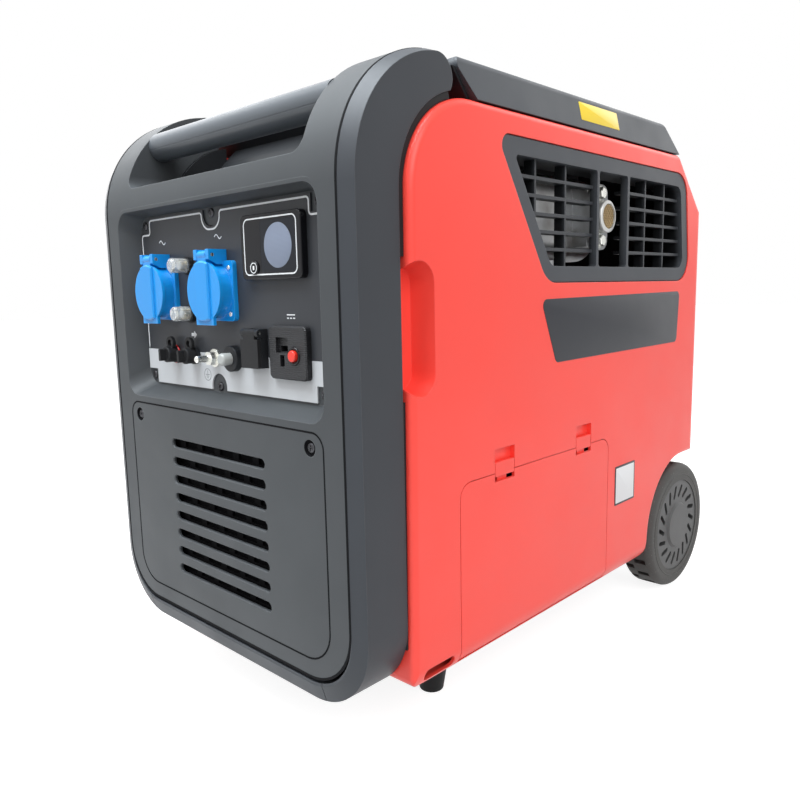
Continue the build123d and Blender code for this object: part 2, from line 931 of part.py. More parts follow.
with BuildPart() as front_fascia:
    with BuildSketch(side_plane(-fascia_half)):
        add(arch_profile(0, fascia_bottom))
    extrude(amount=fascia_width)
    with BuildSketch(front_plane(0)):
        add(fascia_outline.sketch)
        add(handle_window.sketch, mode=Mode.SUBTRACT)
    extrude(amount=-nose_tip_depth - wall, mode=Mode.INTERSECT)
    add(fascia_core.part, mode=Mode.SUBTRACT)
    # Liner of the control pocket
    with BuildSketch(front_plane(0)):
        add(pocket_section(0, wall))
    with BuildSketch(front_plane(pocket_depth + wall)):
        add(pocket_section(pocket_depth + wall, wall))
    loft(ruled=True)
    with BuildSketch(front_plane(0)):
        add(pocket_section(0, 0))
    with BuildSketch(front_plane(pocket_depth)):
        add(pocket_section(pocket_depth, 0))
    loft(ruled=True, mode=Mode.SUBTRACT)
    with BuildSketch(front_plane(pocket_depth)):
        with Locations((0, (floor_window_low + floor_window_high) / 2)):
            Rectangle(2 * floor_window_half, floor_window_high - floor_window_low)
    extrude(amount=-wall - over, mode=Mode.SUBTRACT)
    # Ledge that the intake cover screws to
    with BuildSketch(front_plane(wall)):
        add(intake_outline.sketch)
        offset(amount=intake_ledge)
    extrude(amount=-intake_ledge_depth)
    with BuildSketch(front_plane(0)):
        add(intake_outline.sketch)
        offset(amount=fascia_seam)
    extrude(amount=-wall, mode=Mode.SUBTRACT)
    with BuildSketch(front_plane(0)):
        add(intake_outline.sketch)
        offset(amount=-intake_ledge)
    extrude(amount=-wall - intake_ledge_depth, mode=Mode.SUBTRACT)
    # Holes that carry the handle tube
    with BuildSketch(side_plane(-handle_gap_half - tube_reach)):
        with Locations((handle_depth, handle_height)):
            Circle(tube_radius + axle_fit)
    extrude(amount=2 * (handle_gap_half + tube_reach), mode=Mode.SUBTRACT)
save("front_fascia", front_fascia)

with BuildPart() as intake_cover:
    with BuildSketch(front_plane(0)):
        add(intake_outline.sketch)
        with Locations((0, intake_slot_middle)):
            with GridLocations(0, intake_slot_pitch, 1, intake_slot_count):
                SlotOverall(intake_slot_length, intake_slot_height, mode=Mode.SUBTRACT)
    extrude(amount=-wall)
    cover_face = intake_cover.faces().sort_by(Axis.Y)[0]
    for slot in cover_face.inner_wires():
        chamfer(slot.edges(), intake_slot_bevel)
    with BuildSketch(front_plane(0)):
        with Locations((-intake_screw_x, intake_screw_z), (intake_screw_x, intake_screw_z)):
            Circle(intake_screw_recess)
    extrude(amount=-intake_screw_sink, mode=Mode.SUBTRACT)
save("intake_cover", intake_cover)

screen_front = wall + intake_ledge_depth
screen_column_pitch = intake_slot_length / screen_columns
with BuildPart() as intake_screen:
    with BuildSketch(front_plane(screen_front)):
        add(intake_outline.sketch)
        for row in range(intake_slot_count):
            shift = screen_stagger * (1 if row % 2 else -1)
            row_z = intake_slot_middle + intake_slot_pitch * (row - (intake_slot_count - 1) / 2)
            with Locations((shift, row_z)):
                with GridLocations(screen_column_pitch, 0, screen_columns, 1):
                    Rectangle(screen_hole_width, screen_hole_height, mode=Mode.SUBTRACT)
    extrude(amount=-screen_thickness)
save("intake_screen", intake_screen)

# Control plate and its instruments

plate_middle = (plate_low + plate_high) / 2
plate_height = plate_high - plate_low
step_x = plate_half - plate_step_width / 2
step_top = plate_high - plate_step_height / 2
step_foot = plate_low + plate_step_height / 2
notch_radius_x = plate_notch_width / 2
notch_foot = plate_notch_height - notch_radius_x
with BuildPart() as control_plate:
    with BuildSketch(front_plane(plate_front)) as plate:
        with Locations((0, plate_middle)):
            Rectangle(2 * plate_half, plate_height)
        with Locations((-step_x, step_top), (step_x, step_top), (-step_x, step_foot), (step_x, step_foot)):
            Rectangle(plate_step_width, plate_step_height, mode=Mode.SUBTRACT)
        with Locations((plate_notch_x, plate_high), (plate_notch_x, plate_low)):
            Rectangle(plate_notch_width, 2 * notch_foot, mode=Mode.SUBTRACT)
        with Locations(
            (plate_notch_x, plate_high - notch_foot), (plate_notch_x, plate_low + notch_foot)
        ):
            Circle(notch_radius_x, mode=Mode.SUBTRACT)
        with Locations([(x, socket_z) for x in socket_x]):
            Circle(barrel_radius + fit, mode=Mode.SUBTRACT)
        with Locations([(breaker_x, z) for z in breaker_z]):
            Circle(boot_radius, mode=Mode.SUBTRACT)
        with Locations([(x, jack_z) for x in jack_x]):
            Circle(jack_bush_radius + fit, mode=Mode.SUBTRACT)
        with Locations((earth_x, earth_z)):
            Circle(earth_stud_radius + fit, mode=Mode.SUBTRACT)
        with Locations((eco_x, eco_z)):
            Circle(eco_barrel_radius + fit, mode=Mode.SUBTRACT)
        with Locations((usb_x, (usb_low + usb_high) / 2)):
            Rectangle(usb_width - 2 * wall + fit, usb_high - usb_low - 2 * wall + fit, mode=Mode.SUBTRACT)
        with Locations((dc_x, dc_z)):
            Rectangle(dc_width - 2 * wall + fit, dc_height - 2 * wall + fit, mode=Mode.SUBTRACT)
        with Locations((display_x, display_z)):
            Rectangle(
                display_width - 2 * display_rear_margin + fit,
                display_height - 2 * display_rear_margin + fit,
                mode=Mode.SUBTRACT,
            )
    extrude(amount=-plate_thickness)
save("control_plate", control_plate)

flange_front = plate_front - flange_thickness
pin_z = socket_z + lid_pin_height


def socket_body(x: float) -> Part:
    """Panel socket with its flange, collar, cavity, contacts and hinge ears at X = x."""
    with BuildPart() as body:
        with BuildSketch(front_plane(plate_front)) as flange:
            with Locations((x, socket_z)):
                RectangleRounded(flange_size, flange_size, flange_radius)
        extrude(amount=flange_thickness)
        with BuildSketch(front_plane(plate_front)):
            with Locations((x, socket_z)):
                Circle(collar_radius)
        extrude(amount=plate_front - collar_front)
        with BuildSketch(front_plane(plate_front)):
            with Locations((x, socket_z)):
                Circle(barrel_radius)
        extrude(amount=plate_front - barrel_depth)
        for ear_x in (x - ear_outer, x + ear_inner):
            with BuildSketch(side_plane(ear_x)):
                with BuildLine():
                    Polyline(
                        (plate_front, socket_z + collar_radius - over),
                        (plate_front, socket_z + ear_height),
                        (ear_front, socket_z + ear_height),
                        (ear_front, pin_z - lid_knuckle_radius + over / 2),
                        (collar_front + wall, socket_z + collar_radius - over),
                        close=True,
                    )
                make_face()
            extrude(amount=ear_outer - ear_inner)
        with BuildSketch(side_plane(x - ear_outer)):
            with Locations((lid_pin_depth, pin_z)):
                Circle(lid_pin_radius)
        extrude(amount=2 * ear_outer, mode=Mode.SUBTRACT)
        with BuildSketch(front_plane(collar_front)):
            with Locations((x, socket_z)):
                Circle(cavity_radius)
        extrude(amount=-cavity_depth, mode=Mode.SUBTRACT)
        with BuildSketch(front_plane(collar_front + cavity_depth)):
            with Locations((x, socket_z)):
                with GridLocations(contact_pitch, 0, 2, 1):
                    Circle(contact_radius)
        extrude(amount=-contact_depth, mode=Mode.SUBTRACT)
    return body.part


def socket_lid(x: float) -> Part:
    """Sprung lid of the socket at X = x, with its raised rib, pull tab and hinge knuckle."""
    knuckle_half = ear_inner - fit
    with BuildPart() as rib:
        with BuildSketch(front_plane(lid_front)):
            with Locations((x, socket_z)):
                Circle(lid_radius)
            with Locations((x, socket_z)):
                Rectangle(lid_rib_width, 2 * lid_radius, mode=Mode.INTERSECT)
        extrude(amount=lid_rib_rise)
        rib_face = rib.faces().sort_by(Axis.Y)[0]
        chamfer(rib_face.edges(), lid_rib_bevel)
    with BuildPart() as lid:
        with BuildSketch(front_plane(lid_front)):
            with Locations((x, socket_z)):
                Circle(lid_radius)
            with Locations((x, socket_z - lid_tab_drop / 2)):
                Rectangle(lid_tab_width, lid_tab_drop)
            with Locations((x, (socket_z + pin_z) / 2)):
                Rectangle(2 * knuckle_half, pin_z - socket_z)
        extrude(amount=-lid_thickness)
        add(rib.part)
        with BuildSketch(front_plane(lid_front + lid_thickness)):
            with Locations((x, socket_z)):
                Circle(lid_plug_radius)
        extrude(amount=-lid_plug_depth)
        with BuildSketch(side_plane(x - knuckle_half)):
            with Locations((lid_pin_depth, pin_z)):
                Circle(lid_knuckle_radius)
        extrude(amount=2 * knuckle_half)
        with BuildSketch(side_plane(x - knuckle_half)):
            with Locations((lid_pin_depth, pin_z)):
                Circle(lid_pin_radius + pin_fit)
        extrude(amount=2 * knuckle_half, mode=Mode.SUBTRACT)
    return lid.part


with BuildPart() as sockets:
    for centre in socket_x:
        add(socket_body(centre))
save("sockets", sockets)

for side, centre in zip(("left", "right"), socket_x):
    with BuildPart() as socket_cover:
        add(socket_lid(centre))
    save(f"socket_lid_{side}", socket_cover)

collar_face = plate_front - breaker_collar_height
with BuildPart() as breakers:
    for z in breaker_z:
        with BuildSketch(front_plane(pocket_depth)):
            with Locations((breaker_x, z)):
                Rectangle(breaker_body_size, breaker_body_size)
        extrude(amount=pocket_depth - breaker_body_depth)
        with BuildSketch(front_plane(pocket_depth)):
            with Locations((breaker_x, z)):
                Circle(boot_radius - fit)
        extrude(amount=plate_thickness)
        with BuildSketch(front_plane(plate_front)):
            with Locations((breaker_x, z)):
                RegularPolygon(breaker_collar_radius, breaker_collar_sides)
        extrude(amount=breaker_collar_height)
        with BuildSketch(front_plane(collar_face)):
            with Locations((breaker_x, z)):
                Circle(breaker_button_radius + fit)
        extrude(amount=-(button_bore_depth - collar_face), mode=Mode.SUBTRACT)
save("breakers", breakers)

with BuildPart() as breaker_boots:
    for z in breaker_z:
        with BuildSketch(front_plane(collar_face)):
            with Locations((breaker_x, z)):
                Circle(boot_radius)
        extrude(amount=boot_length)
    boot_tips = breaker_boots.faces().group_by(Axis.Y)[0]
    fillet(boot_tips.edges(), boot_wall * 2)
    for z in breaker_z:
        with BuildSketch(front_plane(collar_face)):
            with Locations((breaker_x, z)):
                Circle(boot_radius - boot_wall)
        extrude(amount=boot_length - boot_wall, mode=Mode.SUBTRACT)
save("breaker_boots", breaker_boots)

for place, z in zip(("lower", "upper"), breaker_z):
    with BuildPart() as breaker_button:
        with BuildSketch(front_plane(breaker_button_front)):
            with Locations((breaker_x, z)):
                Circle(breaker_button_radius)
        extrude(amount=-(breaker_button_rear - breaker_button_front))
        fillet(breaker_button.faces().sort_by(Axis.Y)[0].edges(), edge_break)
    save(f"breaker_button_{place}", breaker_button)

with BuildPart() as parallel_jacks:
    for x in jack_x:
        with BuildSketch(front_plane(plate_front)):
            with Locations((x, jack_z)):
                Circle(jack_flange_radius)
        extrude(amount=jack_flange_height)
        with BuildSketch(front_plane(plate_front)):
            with Locations((x, jack_z)):
                Circle(jack_bush_radius)
        extrude(amount=plate_front - jack_bush_depth)
        with BuildSketch(front_plane(plate_front - jack_flange_height)):
            with Locations((x, jack_z)):
                Circle(jack_bore_radius)
        extrude(amount=-(jack_flange_height + jack_stem_length + wall), mode=Mode.SUBTRACT)
save("parallel_jacks", parallel_jacks)

cap_rear = plate_front - jack_flange_height - fit
loop_z = jack_z + jack_cap_radius + cap_loop_inner
for side, x in zip(("left", "right"), jack_x):
    with BuildPart() as jack_cap:
        with BuildSketch(front_plane(cap_rear)):
            with Locations((x, jack_z)):
                Circle(jack_cap_radius)
        extrude(amount=jack_cap_length)
        fillet(jack_cap.faces().sort_by(Axis.Y)[0].edges(), edge_break)
        with BuildSketch(front_plane(cap_rear)):
            with Locations((x, jack_z)):
                Circle(jack_bore_radius - fit)
        extrude(amount=-jack_stem_length)
        with BuildSketch(front_plane(cap_rear - over)):
            with Locations((x, loop_z)):
                Circle(cap_loop_outer)
                Circle(cap_loop_inner, mode=Mode.SUBTRACT)
        extrude(amount=cap_loop_thickness)
        with BuildSketch(front_plane(cap_rear - jack_cap_length)):
            with Locations((x, jack_z)):
                RectangleRounded(cap_tab_width, cap_tab_height, cap_tab_radius)
        extrude(amount=cap_tab_length)
    save(f"jack_cap_{side}", jack_cap)

washer_front = plate_front - earth_washer_height
with BuildPart() as earth_terminal:
    with BuildSketch(front_plane(earth_stud_front)):
        with Locations((earth_x, earth_z)):
            Circle(earth_stud_radius)
    extrude(amount=earth_stud_front - earth_stud_rear)
    chamfer(earth_terminal.faces().sort_by(Axis.Y)[0].edges(), edge_break)
    with BuildSketch(front_plane(plate_front)):
        with Locations((earth_x, earth_z)):
            Circle(earth_washer_radius)
    extrude(amount=earth_washer_height)
    with BuildSketch(front_plane(washer_front)):
        with Locations((earth_x, earth_z)):
            RegularPolygon(earth_nut_across / 2, hex_sides, major_radius=False)
    extrude(amount=earth_nut_height)
save("earth_terminal", earth_terminal)

eco_face = plate_front - eco_collar_height
eco_bore = eco_button_radius + fit
with BuildPart() as eco_switch:
    with BuildSketch(front_plane(plate_front)):
        with Locations((eco_x, eco_z)):
            Circle(eco_collar_radius)
    extrude(amount=eco_collar_height)
    fillet(eco_switch.faces().sort_by(Axis.Y)[0].edges(), edge_break)
    with BuildSketch(front_plane(plate_front)):
        with Locations((eco_x, eco_z)):
            Circle(eco_barrel_radius)
    extrude(amount=plate_front - eco_barrel_depth)
    with BuildSketch(front_plane(eco_face)):
        with Locations((eco_x, eco_z)):
            Circle(eco_bore)
    extrude(amount=-(eco_button_rear + 2 * eco_travel - eco_face), mode=Mode.SUBTRACT)
save("eco_switch", eco_switch)

with BuildPart() as eco_button:
    with BuildSketch(front_plane(eco_button_front)):
        with Locations((eco_x, eco_z)):
            Circle(eco_button_radius)
    extrude(amount=eco_button_front - eco_button_rear)
    fillet(eco_button.faces().sort_by(Axis.Y)[0].edges(), 2 * edge_break)
save("eco_button", eco_button)

usb_middle = (usb_low + usb_high) / 2
usb_height = usb_high - usb_low
ear_width = usb_width / 2 - usb_roll_half - fit
usb_pin_depth = usb_front - fit
with BuildPart() as usb_port:
    with BuildSketch(front_plane(plate_front)):
        with Locations((usb_x, usb_middle)):
            Rectangle(usb_width, usb_height)
    extrude(amount=plate_front - usb_front)
    with BuildSketch(front_plane(plate_front)):
        with Locations((usb_x, usb_middle)):
            Rectangle(usb_width - 2 * wall, usb_height - 2 * wall)
    extrude(amount=plate_front - usb_depth)
    for ear_x in (usb_x - usb_width / 2, usb_x + usb_width / 2 - ear_width):
        with BuildSketch(side_plane(ear_x)):
            with BuildLine():
                Polyline(
                    (plate_front, usb_high),
                    (plate_front, usb_roll_z + usb_roll_radius),
                    (usb_pin_depth, usb_roll_z + usb_roll_radius),
                )
                RadiusArc(
                    (usb_pin_depth, usb_roll_z + usb_roll_radius),
                    (usb_pin_depth, usb_roll_z - usb_roll_radius),
                    -usb_roll_radius,
                )
                Polyline(
                    (usb_pin_depth, usb_roll_z - usb_roll_radius),
                    (usb_front + usb_roll_radius, usb_high),
                    (plate_front, usb_high),
                )
            make_face()
        extrude(amount=ear_width)
    with BuildSketch(side_plane(usb_x - usb_width / 2)):
        with Locations((usb_pin_depth, usb_roll_z)):
            Circle(usb_pin_radius)
    extrude(amount=usb_width, mode=Mode.SUBTRACT)
    with BuildSketch(front_plane(usb_front)):
        with Locations((usb_x, usb_middle)):
            with GridLocations(0, usb_slot_pitch, 1, 2):
                Rectangle(usb_slot_width, usb_slot_height)
    extrude(amount=-usb_slot_depth, mode=Mode.SUBTRACT)
save("usb_port", usb_port)

flap_rear = usb_front - fit
with BuildPart() as usb_flap:
    with BuildSketch(front_plane(flap_rear)) as flap:
        with Locations((usb_x, (usb_low + usb_high - fit) / 2)):
            Rectangle(usb_width, usb_height - fit)
        fillet(flap.vertices().group_by(Axis.Y)[0], edge_break)
    extrude(amount=usb_flap_thickness)
    with BuildSketch(front_plane(flap_rear)):
        with Locations((usb_x, (usb_roll_z + usb_middle) / 2)):
            Rectangle(2 * usb_roll_half, usb_roll_z - usb_middle)
    extrude(amount=usb_flap_thickness)
    with BuildSketch(side_plane(usb_x - usb_roll_half)):
        with Locations((usb_pin_depth, usb_roll_z)):
            Circle(usb_roll_radius)
    extrude(amount=2 * usb_roll_half)
    with BuildSketch(side_plane(usb_x - usb_roll_half)):
        with Locations((usb_pin_depth, usb_roll_z)):
            Circle(usb_pin_radius + pin_fit)
    extrude(amount=2 * usb_roll_half, mode=Mode.SUBTRACT)
save("usb_flap", usb_flap)

with BuildPart() as dc_outlet:
    with BuildSketch(front_plane(plate_front)):
        with Locations((dc_x, dc_z)):
            RectangleRounded(dc_width, dc_height, dc_radius)
    extrude(amount=plate_front - dc_front)
    chamfer(dc_outlet.faces().sort_by(Axis.Y)[0].edges(), edge_break)
    with BuildSketch(front_plane(plate_front)):
        with Locations((dc_x, dc_z)):
            Rectangle(dc_width - 2 * wall, dc_height - 2 * wall)
    extrude(amount=plate_front - dc_rear)
    with BuildSketch(front_plane(dc_front)):
        with Locations((dc_x + dc_recess_x, dc_z + dc_recess_rise)):
            Rectangle(dc_recess_width, dc_recess_height)
    extrude(amount=-dc_recess_depth, mode=Mode.SUBTRACT)
    with BuildSketch(front_plane(dc_front)):
        with Locations((dc_x + dc_recess_x, dc_z + dc_flat_slot_rise)):
            Rectangle(dc_flat_slot_width, dc_flat_slot_height)
        with Locations((dc_x + dc_recess_x, dc_z - dc_upright_slot_drop)):
            Rectangle(dc_upright_slot_width, dc_upright_slot_height)
    extrude(amount=-dc_slot_depth, mode=Mode.SUBTRACT)
    with BuildSketch(front_plane(dc_front)):
        with Locations((dc_x + dc_button_x, dc_z - dc_button_drop)):
            Circle(dc_button_radius + fit)
    extrude(amount=dc_front - dc_button_rear - over, mode=Mode.SUBTRACT)
save("dc_outlet", dc_outlet)

with BuildPart() as dc_reset_button:
    with BuildSketch(front_plane(dc_button_front)):
        with Locations((dc_x + dc_button_x, dc_z - dc_button_drop)):
            Circle(dc_button_radius)
    extrude(amount=dc_button_front - dc_button_rear)
    fillet(dc_reset_button.faces().sort_by(Axis.Y)[0].edges(), edge_break)
save("dc_reset_button", dc_reset_button)

with BuildPart() as display_bezel:
    with BuildSketch(front_plane(plate_front)):
        with Locations((display_x, display_z)):
            RectangleRounded(display_width, display_height, display_radius)
    extrude(amount=plate_front - display_front)
    fillet(display_bezel.faces().sort_by(Axis.Y)[0].edges(), edge_break)
    with BuildSketch(front_plane(plate_front)):
        with Locations((display_x, display_z)):
            Rectangle(
                display_width - 2 * display_rear_margin, display_height - 2 * display_rear_margin
            )
    extrude(amount=plate_front - display_rear)
    with BuildSketch(front_plane(display_front)):
        with Locations((display_x + lens_x, display_z)):
            RectangleRounded(lens_width + fit, lens_height + fit, lens_radius)
    extrude(amount=-lens_thickness, mode=Mode.SUBTRACT)
    with BuildSketch(front_plane(display_front)):
        with Locations((display_x + display_button_x, display_z - display_button_drop)):
            Circle(display_button_radius + fit)
    extrude(amount=display_front - display_button_bore, mode=Mode.SUBTRACT)
save("display_bezel", display_bezel)

with BuildPart() as display_lens:
    with BuildSketch(front_plane(display_front)):
        with Locations((display_x + lens_x, display_z)):
            RectangleRounded(lens_width, lens_height, lens_radius)
    extrude(amount=-lens_thickness)
save("display_lens", display_lens)

with BuildPart() as display_button:
    with BuildSketch(front_plane(display_button_front)):
        with Locations((display_x + display_button_x, display_z - display_button_drop)):
            Circle(display_button_radius)
    extrude(amount=display_button_front - display_button_rear)
    fillet(display_button.faces().sort_by(Axis.Y)[0].edges(), edge_break)
save("display_button", display_button)

# Pins of the socket lids, the flap and the door

with BuildPart() as hinge_pins:
    for x in socket_x:
        with BuildSketch(side_plane(x - ear_outer)):
            with Locations((lid_pin_depth, pin_z)):
                Circle(lid_pin_radius)
        extrude(amount=2 * ear_outer)
    with BuildSketch(side_plane(usb_x - usb_width / 2)):
        with Locations((usb_pin_depth, usb_roll_z)):
            Circle(usb_pin_radius)
    extrude(amount=usb_width)
    for start in (door_front - seam - door_ear, door_rear + seam + door_ear - door_pin_length):
        with BuildSketch(front_plane(start)):
            with Locations((bead_x, door_bead_height)):
                Circle(door_pin_radius)
        extrude(amount=-door_pin_length)
save("hinge_pins", hinge_pins)

with BuildPart() as front_screws:
    for x in (-intake_screw_x, intake_screw_x):
        with BuildSketch(front_plane(intake_screw_sink)):
            with Locations((x, intake_screw_z)):
                Circle(screw_head_radius)
        extrude(amount=screw_head_height)
    plate_screws = [
        (-step_x, step_top),
        (step_x, step_top),
        (-step_x, step_foot),
        (step_x, step_foot),
        (plate_notch_x, plate_high - notch_foot),
        (plate_notch_x, plate_low + notch_foot),
    ]
    with BuildSketch(front_plane(pocket_depth)):
        with Locations(plate_screws):
            Circle(screw_head_radius)
    extrude(amount=screw_head_height)
    with BuildSketch(front_plane(flange_front)):
        for x in socket_x:
            with Locations((x, socket_z)):
                with GridLocations(flange_screw_pitch, flange_screw_pitch, 2, 2):
                    Circle(screw_head_radius / 2)
    extrude(amount=screw_head_height / 2)
save("front_screws", front_screws)

# Handle

grip_half = handle_gap_half - fit
with BuildPart() as handle_grip:
    with BuildSketch(side_plane(-grip_half)):
        with Locations((handle_depth, handle_height)):
            Circle(grip_radius)
            Circle(tube_radius + axle_fit, mode=Mode.SUBTRACT)
    extrude(amount=2 * grip_half)
    with BuildSketch(side_plane(-grip_half)):
        with Locations((handle_depth - grip_radius, handle_height - grip_groove_drop)):
            Rectangle(2 * grip_groove_depth, grip_groove_width)
    extrude(amount=2 * grip_half, mode=Mode.SUBTRACT)
save("handle_grip", handle_grip)

with BuildPart() as handle_tube:
    with BuildSketch(side_plane(-handle_gap_half - tube_reach)):
        with Locations((handle_depth, handle_height)):
            Circle(tube_radius)
            Circle(tube_radius - tube_wall, mode=Mode.SUBTRACT)
    extrude(amount=2 * (handle_gap_half + tube_reach))
save("handle_tube", handle_tube)

# Handle well: the black liner under and behind the handle

slant = (cover_front_foot - cover_front_top, panel_top + seam - cover_top)
slant_length = sqrt(slant[0] ** 2 + slant[1] ** 2)
slant_rate = slant[0] / -slant[1]
strip_low = panel_top + 2 * seam
strip_foot = cover_front_foot - seam
strip_lean = slant_rate * (well_strip_top - strip_low)
strip_span = well_thickness * slant_length / -slant[1]
well_half = handle_gap_half - fit
well_start = corner_depth - sqrt(notch_radius**2 - (handle_gap_bottom - corner_height) ** 2) + fit
with BuildPart() as handle_well:
    with BuildSketch(side_plane(-well_half)):
        with BuildLine() as well_line:
            Polyline(
                (well_start, handle_gap_bottom - well_thickness),
                (well_bend_depth, well_bend_height - well_thickness),
                (well_shelf_depth, well_shelf_height - well_thickness),
                (strip_foot - strip_span, strip_low - well_thickness),
                (strip_foot - slant_rate * well_thickness - strip_span / 2, strip_low + well_thickness),
                (strip_foot - slant_rate * well_thickness - strip_span, strip_low + well_thickness),
                (well_shelf_depth - well_thickness, well_shelf_height),
                (well_bend_depth - well_thickness / 2, well_bend_height),
                (well_start, handle_gap_bottom),
                close=True,
            )
        make_face()
    extrude(amount=2 * well_half)
    for plate_x in (-well_half, well_half - well_thickness):
        with BuildSketch(side_plane(plate_x)):
            with Locations((corner_depth, corner_height)):
                Circle(notch_radius - fit)
            with BuildLine():
                Polyline(
                    (well_start, handle_gap_bottom - well_thickness),
                    (well_bend_depth, well_bend_height - well_thickness),
                    (well_shelf_depth, well_shelf_height - well_thickness),
                    (well_shelf_depth, cover_top),
                    (well_start, cover_top),
                    close=True,
                )
            make_face(mode=Mode.INTERSECT)
        extrude(amount=well_thickness)
    with BuildSketch(side_plane(-case_half + well_strip_inset)):
        with BuildLine():
            Polyline(
                (strip_foot, strip_low),
                (strip_foot - strip_lean, well_strip_top),
                (strip_foot - strip_lean - strip_span, well_strip_top),
                (strip_foot - strip_span, strip_low),
                close=True,
            )
        make_face()
    extrude(amount=case_width - 2 * well_strip_inset)
save("handle_well", handle_well)

# Top cover with the dish round the fuel cap

cover_foot = panel_top + seam
cover_half = case_half - cover_side_inset


def cover_block(inset: float) -> Part:
    """Solid form of the top cover, drawn in by `inset`, open below when inset."""
    with BuildPart() as block:
        with BuildSketch(side_plane(-cover_half)):
            with BuildLine():
                Polyline(
                    (cover_front_foot, cover_foot),
                    (cover_front_top, cover_top),
                    (cover_rear_top, cover_top),
                    (cover_rear_foot, cover_foot),
                    close=True,
                )
            make_face()
            if inset:
                offset(amount=-inset)
                with Locations(((cover_front_foot + cover_rear_foot - inset) / 2, cover_foot + over / 2)):
                    Rectangle(cover_rear_foot - cover_front_foot - 5 * inset, 2 * inset + over)
        extrude(amount=2 * cover_half)
        with BuildSketch(front_plane(0)):
            with BuildLine():
                Polyline(
                    (-cover_half + inset, cover_foot - 2 * inset),
                    (-cover_half + inset, cover_foot),
                    (-cover_half + cover_lean + inset, cover_top),
                    (cover_half - cover_lean - inset, cover_top),
                    (cover_half - inset, cover_foot),
                    (cover_half - inset, cover_foot - 2 * inset),
                    close=True,
                ) if inset else Polyline(
                    (-cover_half, cover_foot),
                    (-cover_half + cover_lean, cover_top),
                    (cover_half - cover_lean, cover_top),
                    (cover_half, cover_foot),
                    close=True,
                )
            make_face()
        extrude(amount=-case_length, mode=Mode.INTERSECT)
        top_edges = block.faces().sort_by(Axis.Z)[-1].edges()
        fillet(top_edges, cover_edge_radius - inset)
    return block.part


dish_floor = cover_top - dish_depth
with BuildPart() as top_cover:
    add(cover_block(0))
    add(cover_block(wall), mode=Mode.SUBTRACT)
    with BuildSketch(plan_plane(dish_floor - wall)):
        with Locations((0, dish_depth_from_front)):
            Circle(dish_radius + wall)
    extrude(amount=dish_depth)
    with BuildSketch(plan_plane(dish_floor)):
        with Locations((0, dish_depth_from_front)):
            Circle(dish_radius)
    extrude(amount=dish_depth + over, mode=Mode.SUBTRACT)
    with BuildSketch(plan_plane(dish_floor - wall)):
        with Locations((0, dish_depth_from_front)):
            Circle(neck_radius + fit)
    extrude(amount=2 * wall, mode=Mode.SUBTRACT)
save("top_cover", top_cover)

# Fuel tank and cap

cap_foot = dish_floor + fit
neck_top = cap_foot + cap_skirt - fit
with BuildPart() as fuel_tank:
    with BuildSketch(plan_plane(tank_low)):
        with Locations(((tank_left + tank_right) / 2, (tank_front + tank_rear) / 2)):
            RectangleRounded(tank_right - tank_left, tank_rear - tank_front, tank_radius)
    extrude(amount=tank_high - tank_low)
    fillet(fuel_tank.faces().sort_by(Axis.Z)[0].edges(), tank_radius / 2)
    with BuildSketch(plan_plane(tank_high)):
        with Locations((0, dish_depth_from_front)):
            Circle(neck_radius)
    extrude(amount=neck_top - tank_high)
save("fuel_tank", fuel_tank)

with BuildPart() as fuel_cap:
    with BuildSketch(plan_plane(cap_foot)):
        with Locations((0, dish_depth_from_front)):
            Circle(cap_radius)
            with PolarLocations(cap_radius + cap_grip_radius / 2, cap_grip_count):
                Circle(cap_grip_radius, mode=Mode.SUBTRACT)
    extrude(amount=cap_height)
    fillet(fuel_cap.faces().sort_by(Axis.Z)[-1].edges(), edge_break)
    with BuildSketch(plan_plane(cap_foot)):
        with Locations((0, dish_depth_from_front)):
            Circle(neck_radius + fit)
    extrude(amount=cap_skirt, mode=Mode.SUBTRACT)
save("fuel_cap", fuel_cap)

# Rear panel

rear_half = panel_inner - seam
tail_rate = (panel_top - tail_slope_foot) / (case_length - tail_slope_start)
with BuildPart() as rear_panel:
    with BuildSketch(side_plane(-rear_half)):
        with BuildLine():
            Polyline(
                (tail_slope_start, panel_top),
                (case_length, tail_slope_foot),
                (case_length, rear_bottom),
                (case_length - wall, rear_bottom),
                (case_length - wall, tail_slope_foot - wall * tail_rate / 2),
                (tail_slope_start - wall * sqrt(1 + tail_rate**2) / tail_rate + wall, panel_top - wall),
                close=True,
            )
        make_face()
    extrude(amount=2 * rear_half)
    with BuildSketch(front_plane(case_length - 2 * wall)):
        with Locations((0, rear_slot_middle)):
            with GridLocations(0, rear_slot_pitch, 1, rear_slot_count):
                SlotOverall(rear_slot_length, rear_slot_height)
    extrude(amount=-2 * wall - over, mode=Mode.SUBTRACT)
save("rear_panel", rear_panel)

# Louvre frame: bezel, dividers and slats in one moulding

louvre_face = case_half - louvre_face_drop
louvre_back = case_half - wall - fit
slat_face = louvre_face - slat_drop
window_low = louvre_bottom + louvre_rim
window_high = louvre_top - louvre_rim
window_height = window_high - window_low
slat_pitch = window_height / (slat_count + 1)
windows = (
    (louvre_front_top + louvre_rim, louvre_bay_front - louvre_divider),
    (louvre_bay_rear + louvre_divider, louvre_rear_bottom - louvre_rim),
)
with BuildSketch() as window_outline:
    add(louvre_outline.sketch)
    offset(amount=-louvre_rim)
with BuildSketch() as window_openings:
    add(window_outline.sketch)
    for divider in (louvre_bay_front - louvre_divider / 2, louvre_bay_rear + louvre_divider / 2):
        with Locations((divider, (window_low + window_high) / 2)):
            Rectangle(louvre_divider, window_height + louvre_rim, mode=Mode.SUBTRACT)
    offset(amount=-window_radius)
    offset(amount=window_radius)

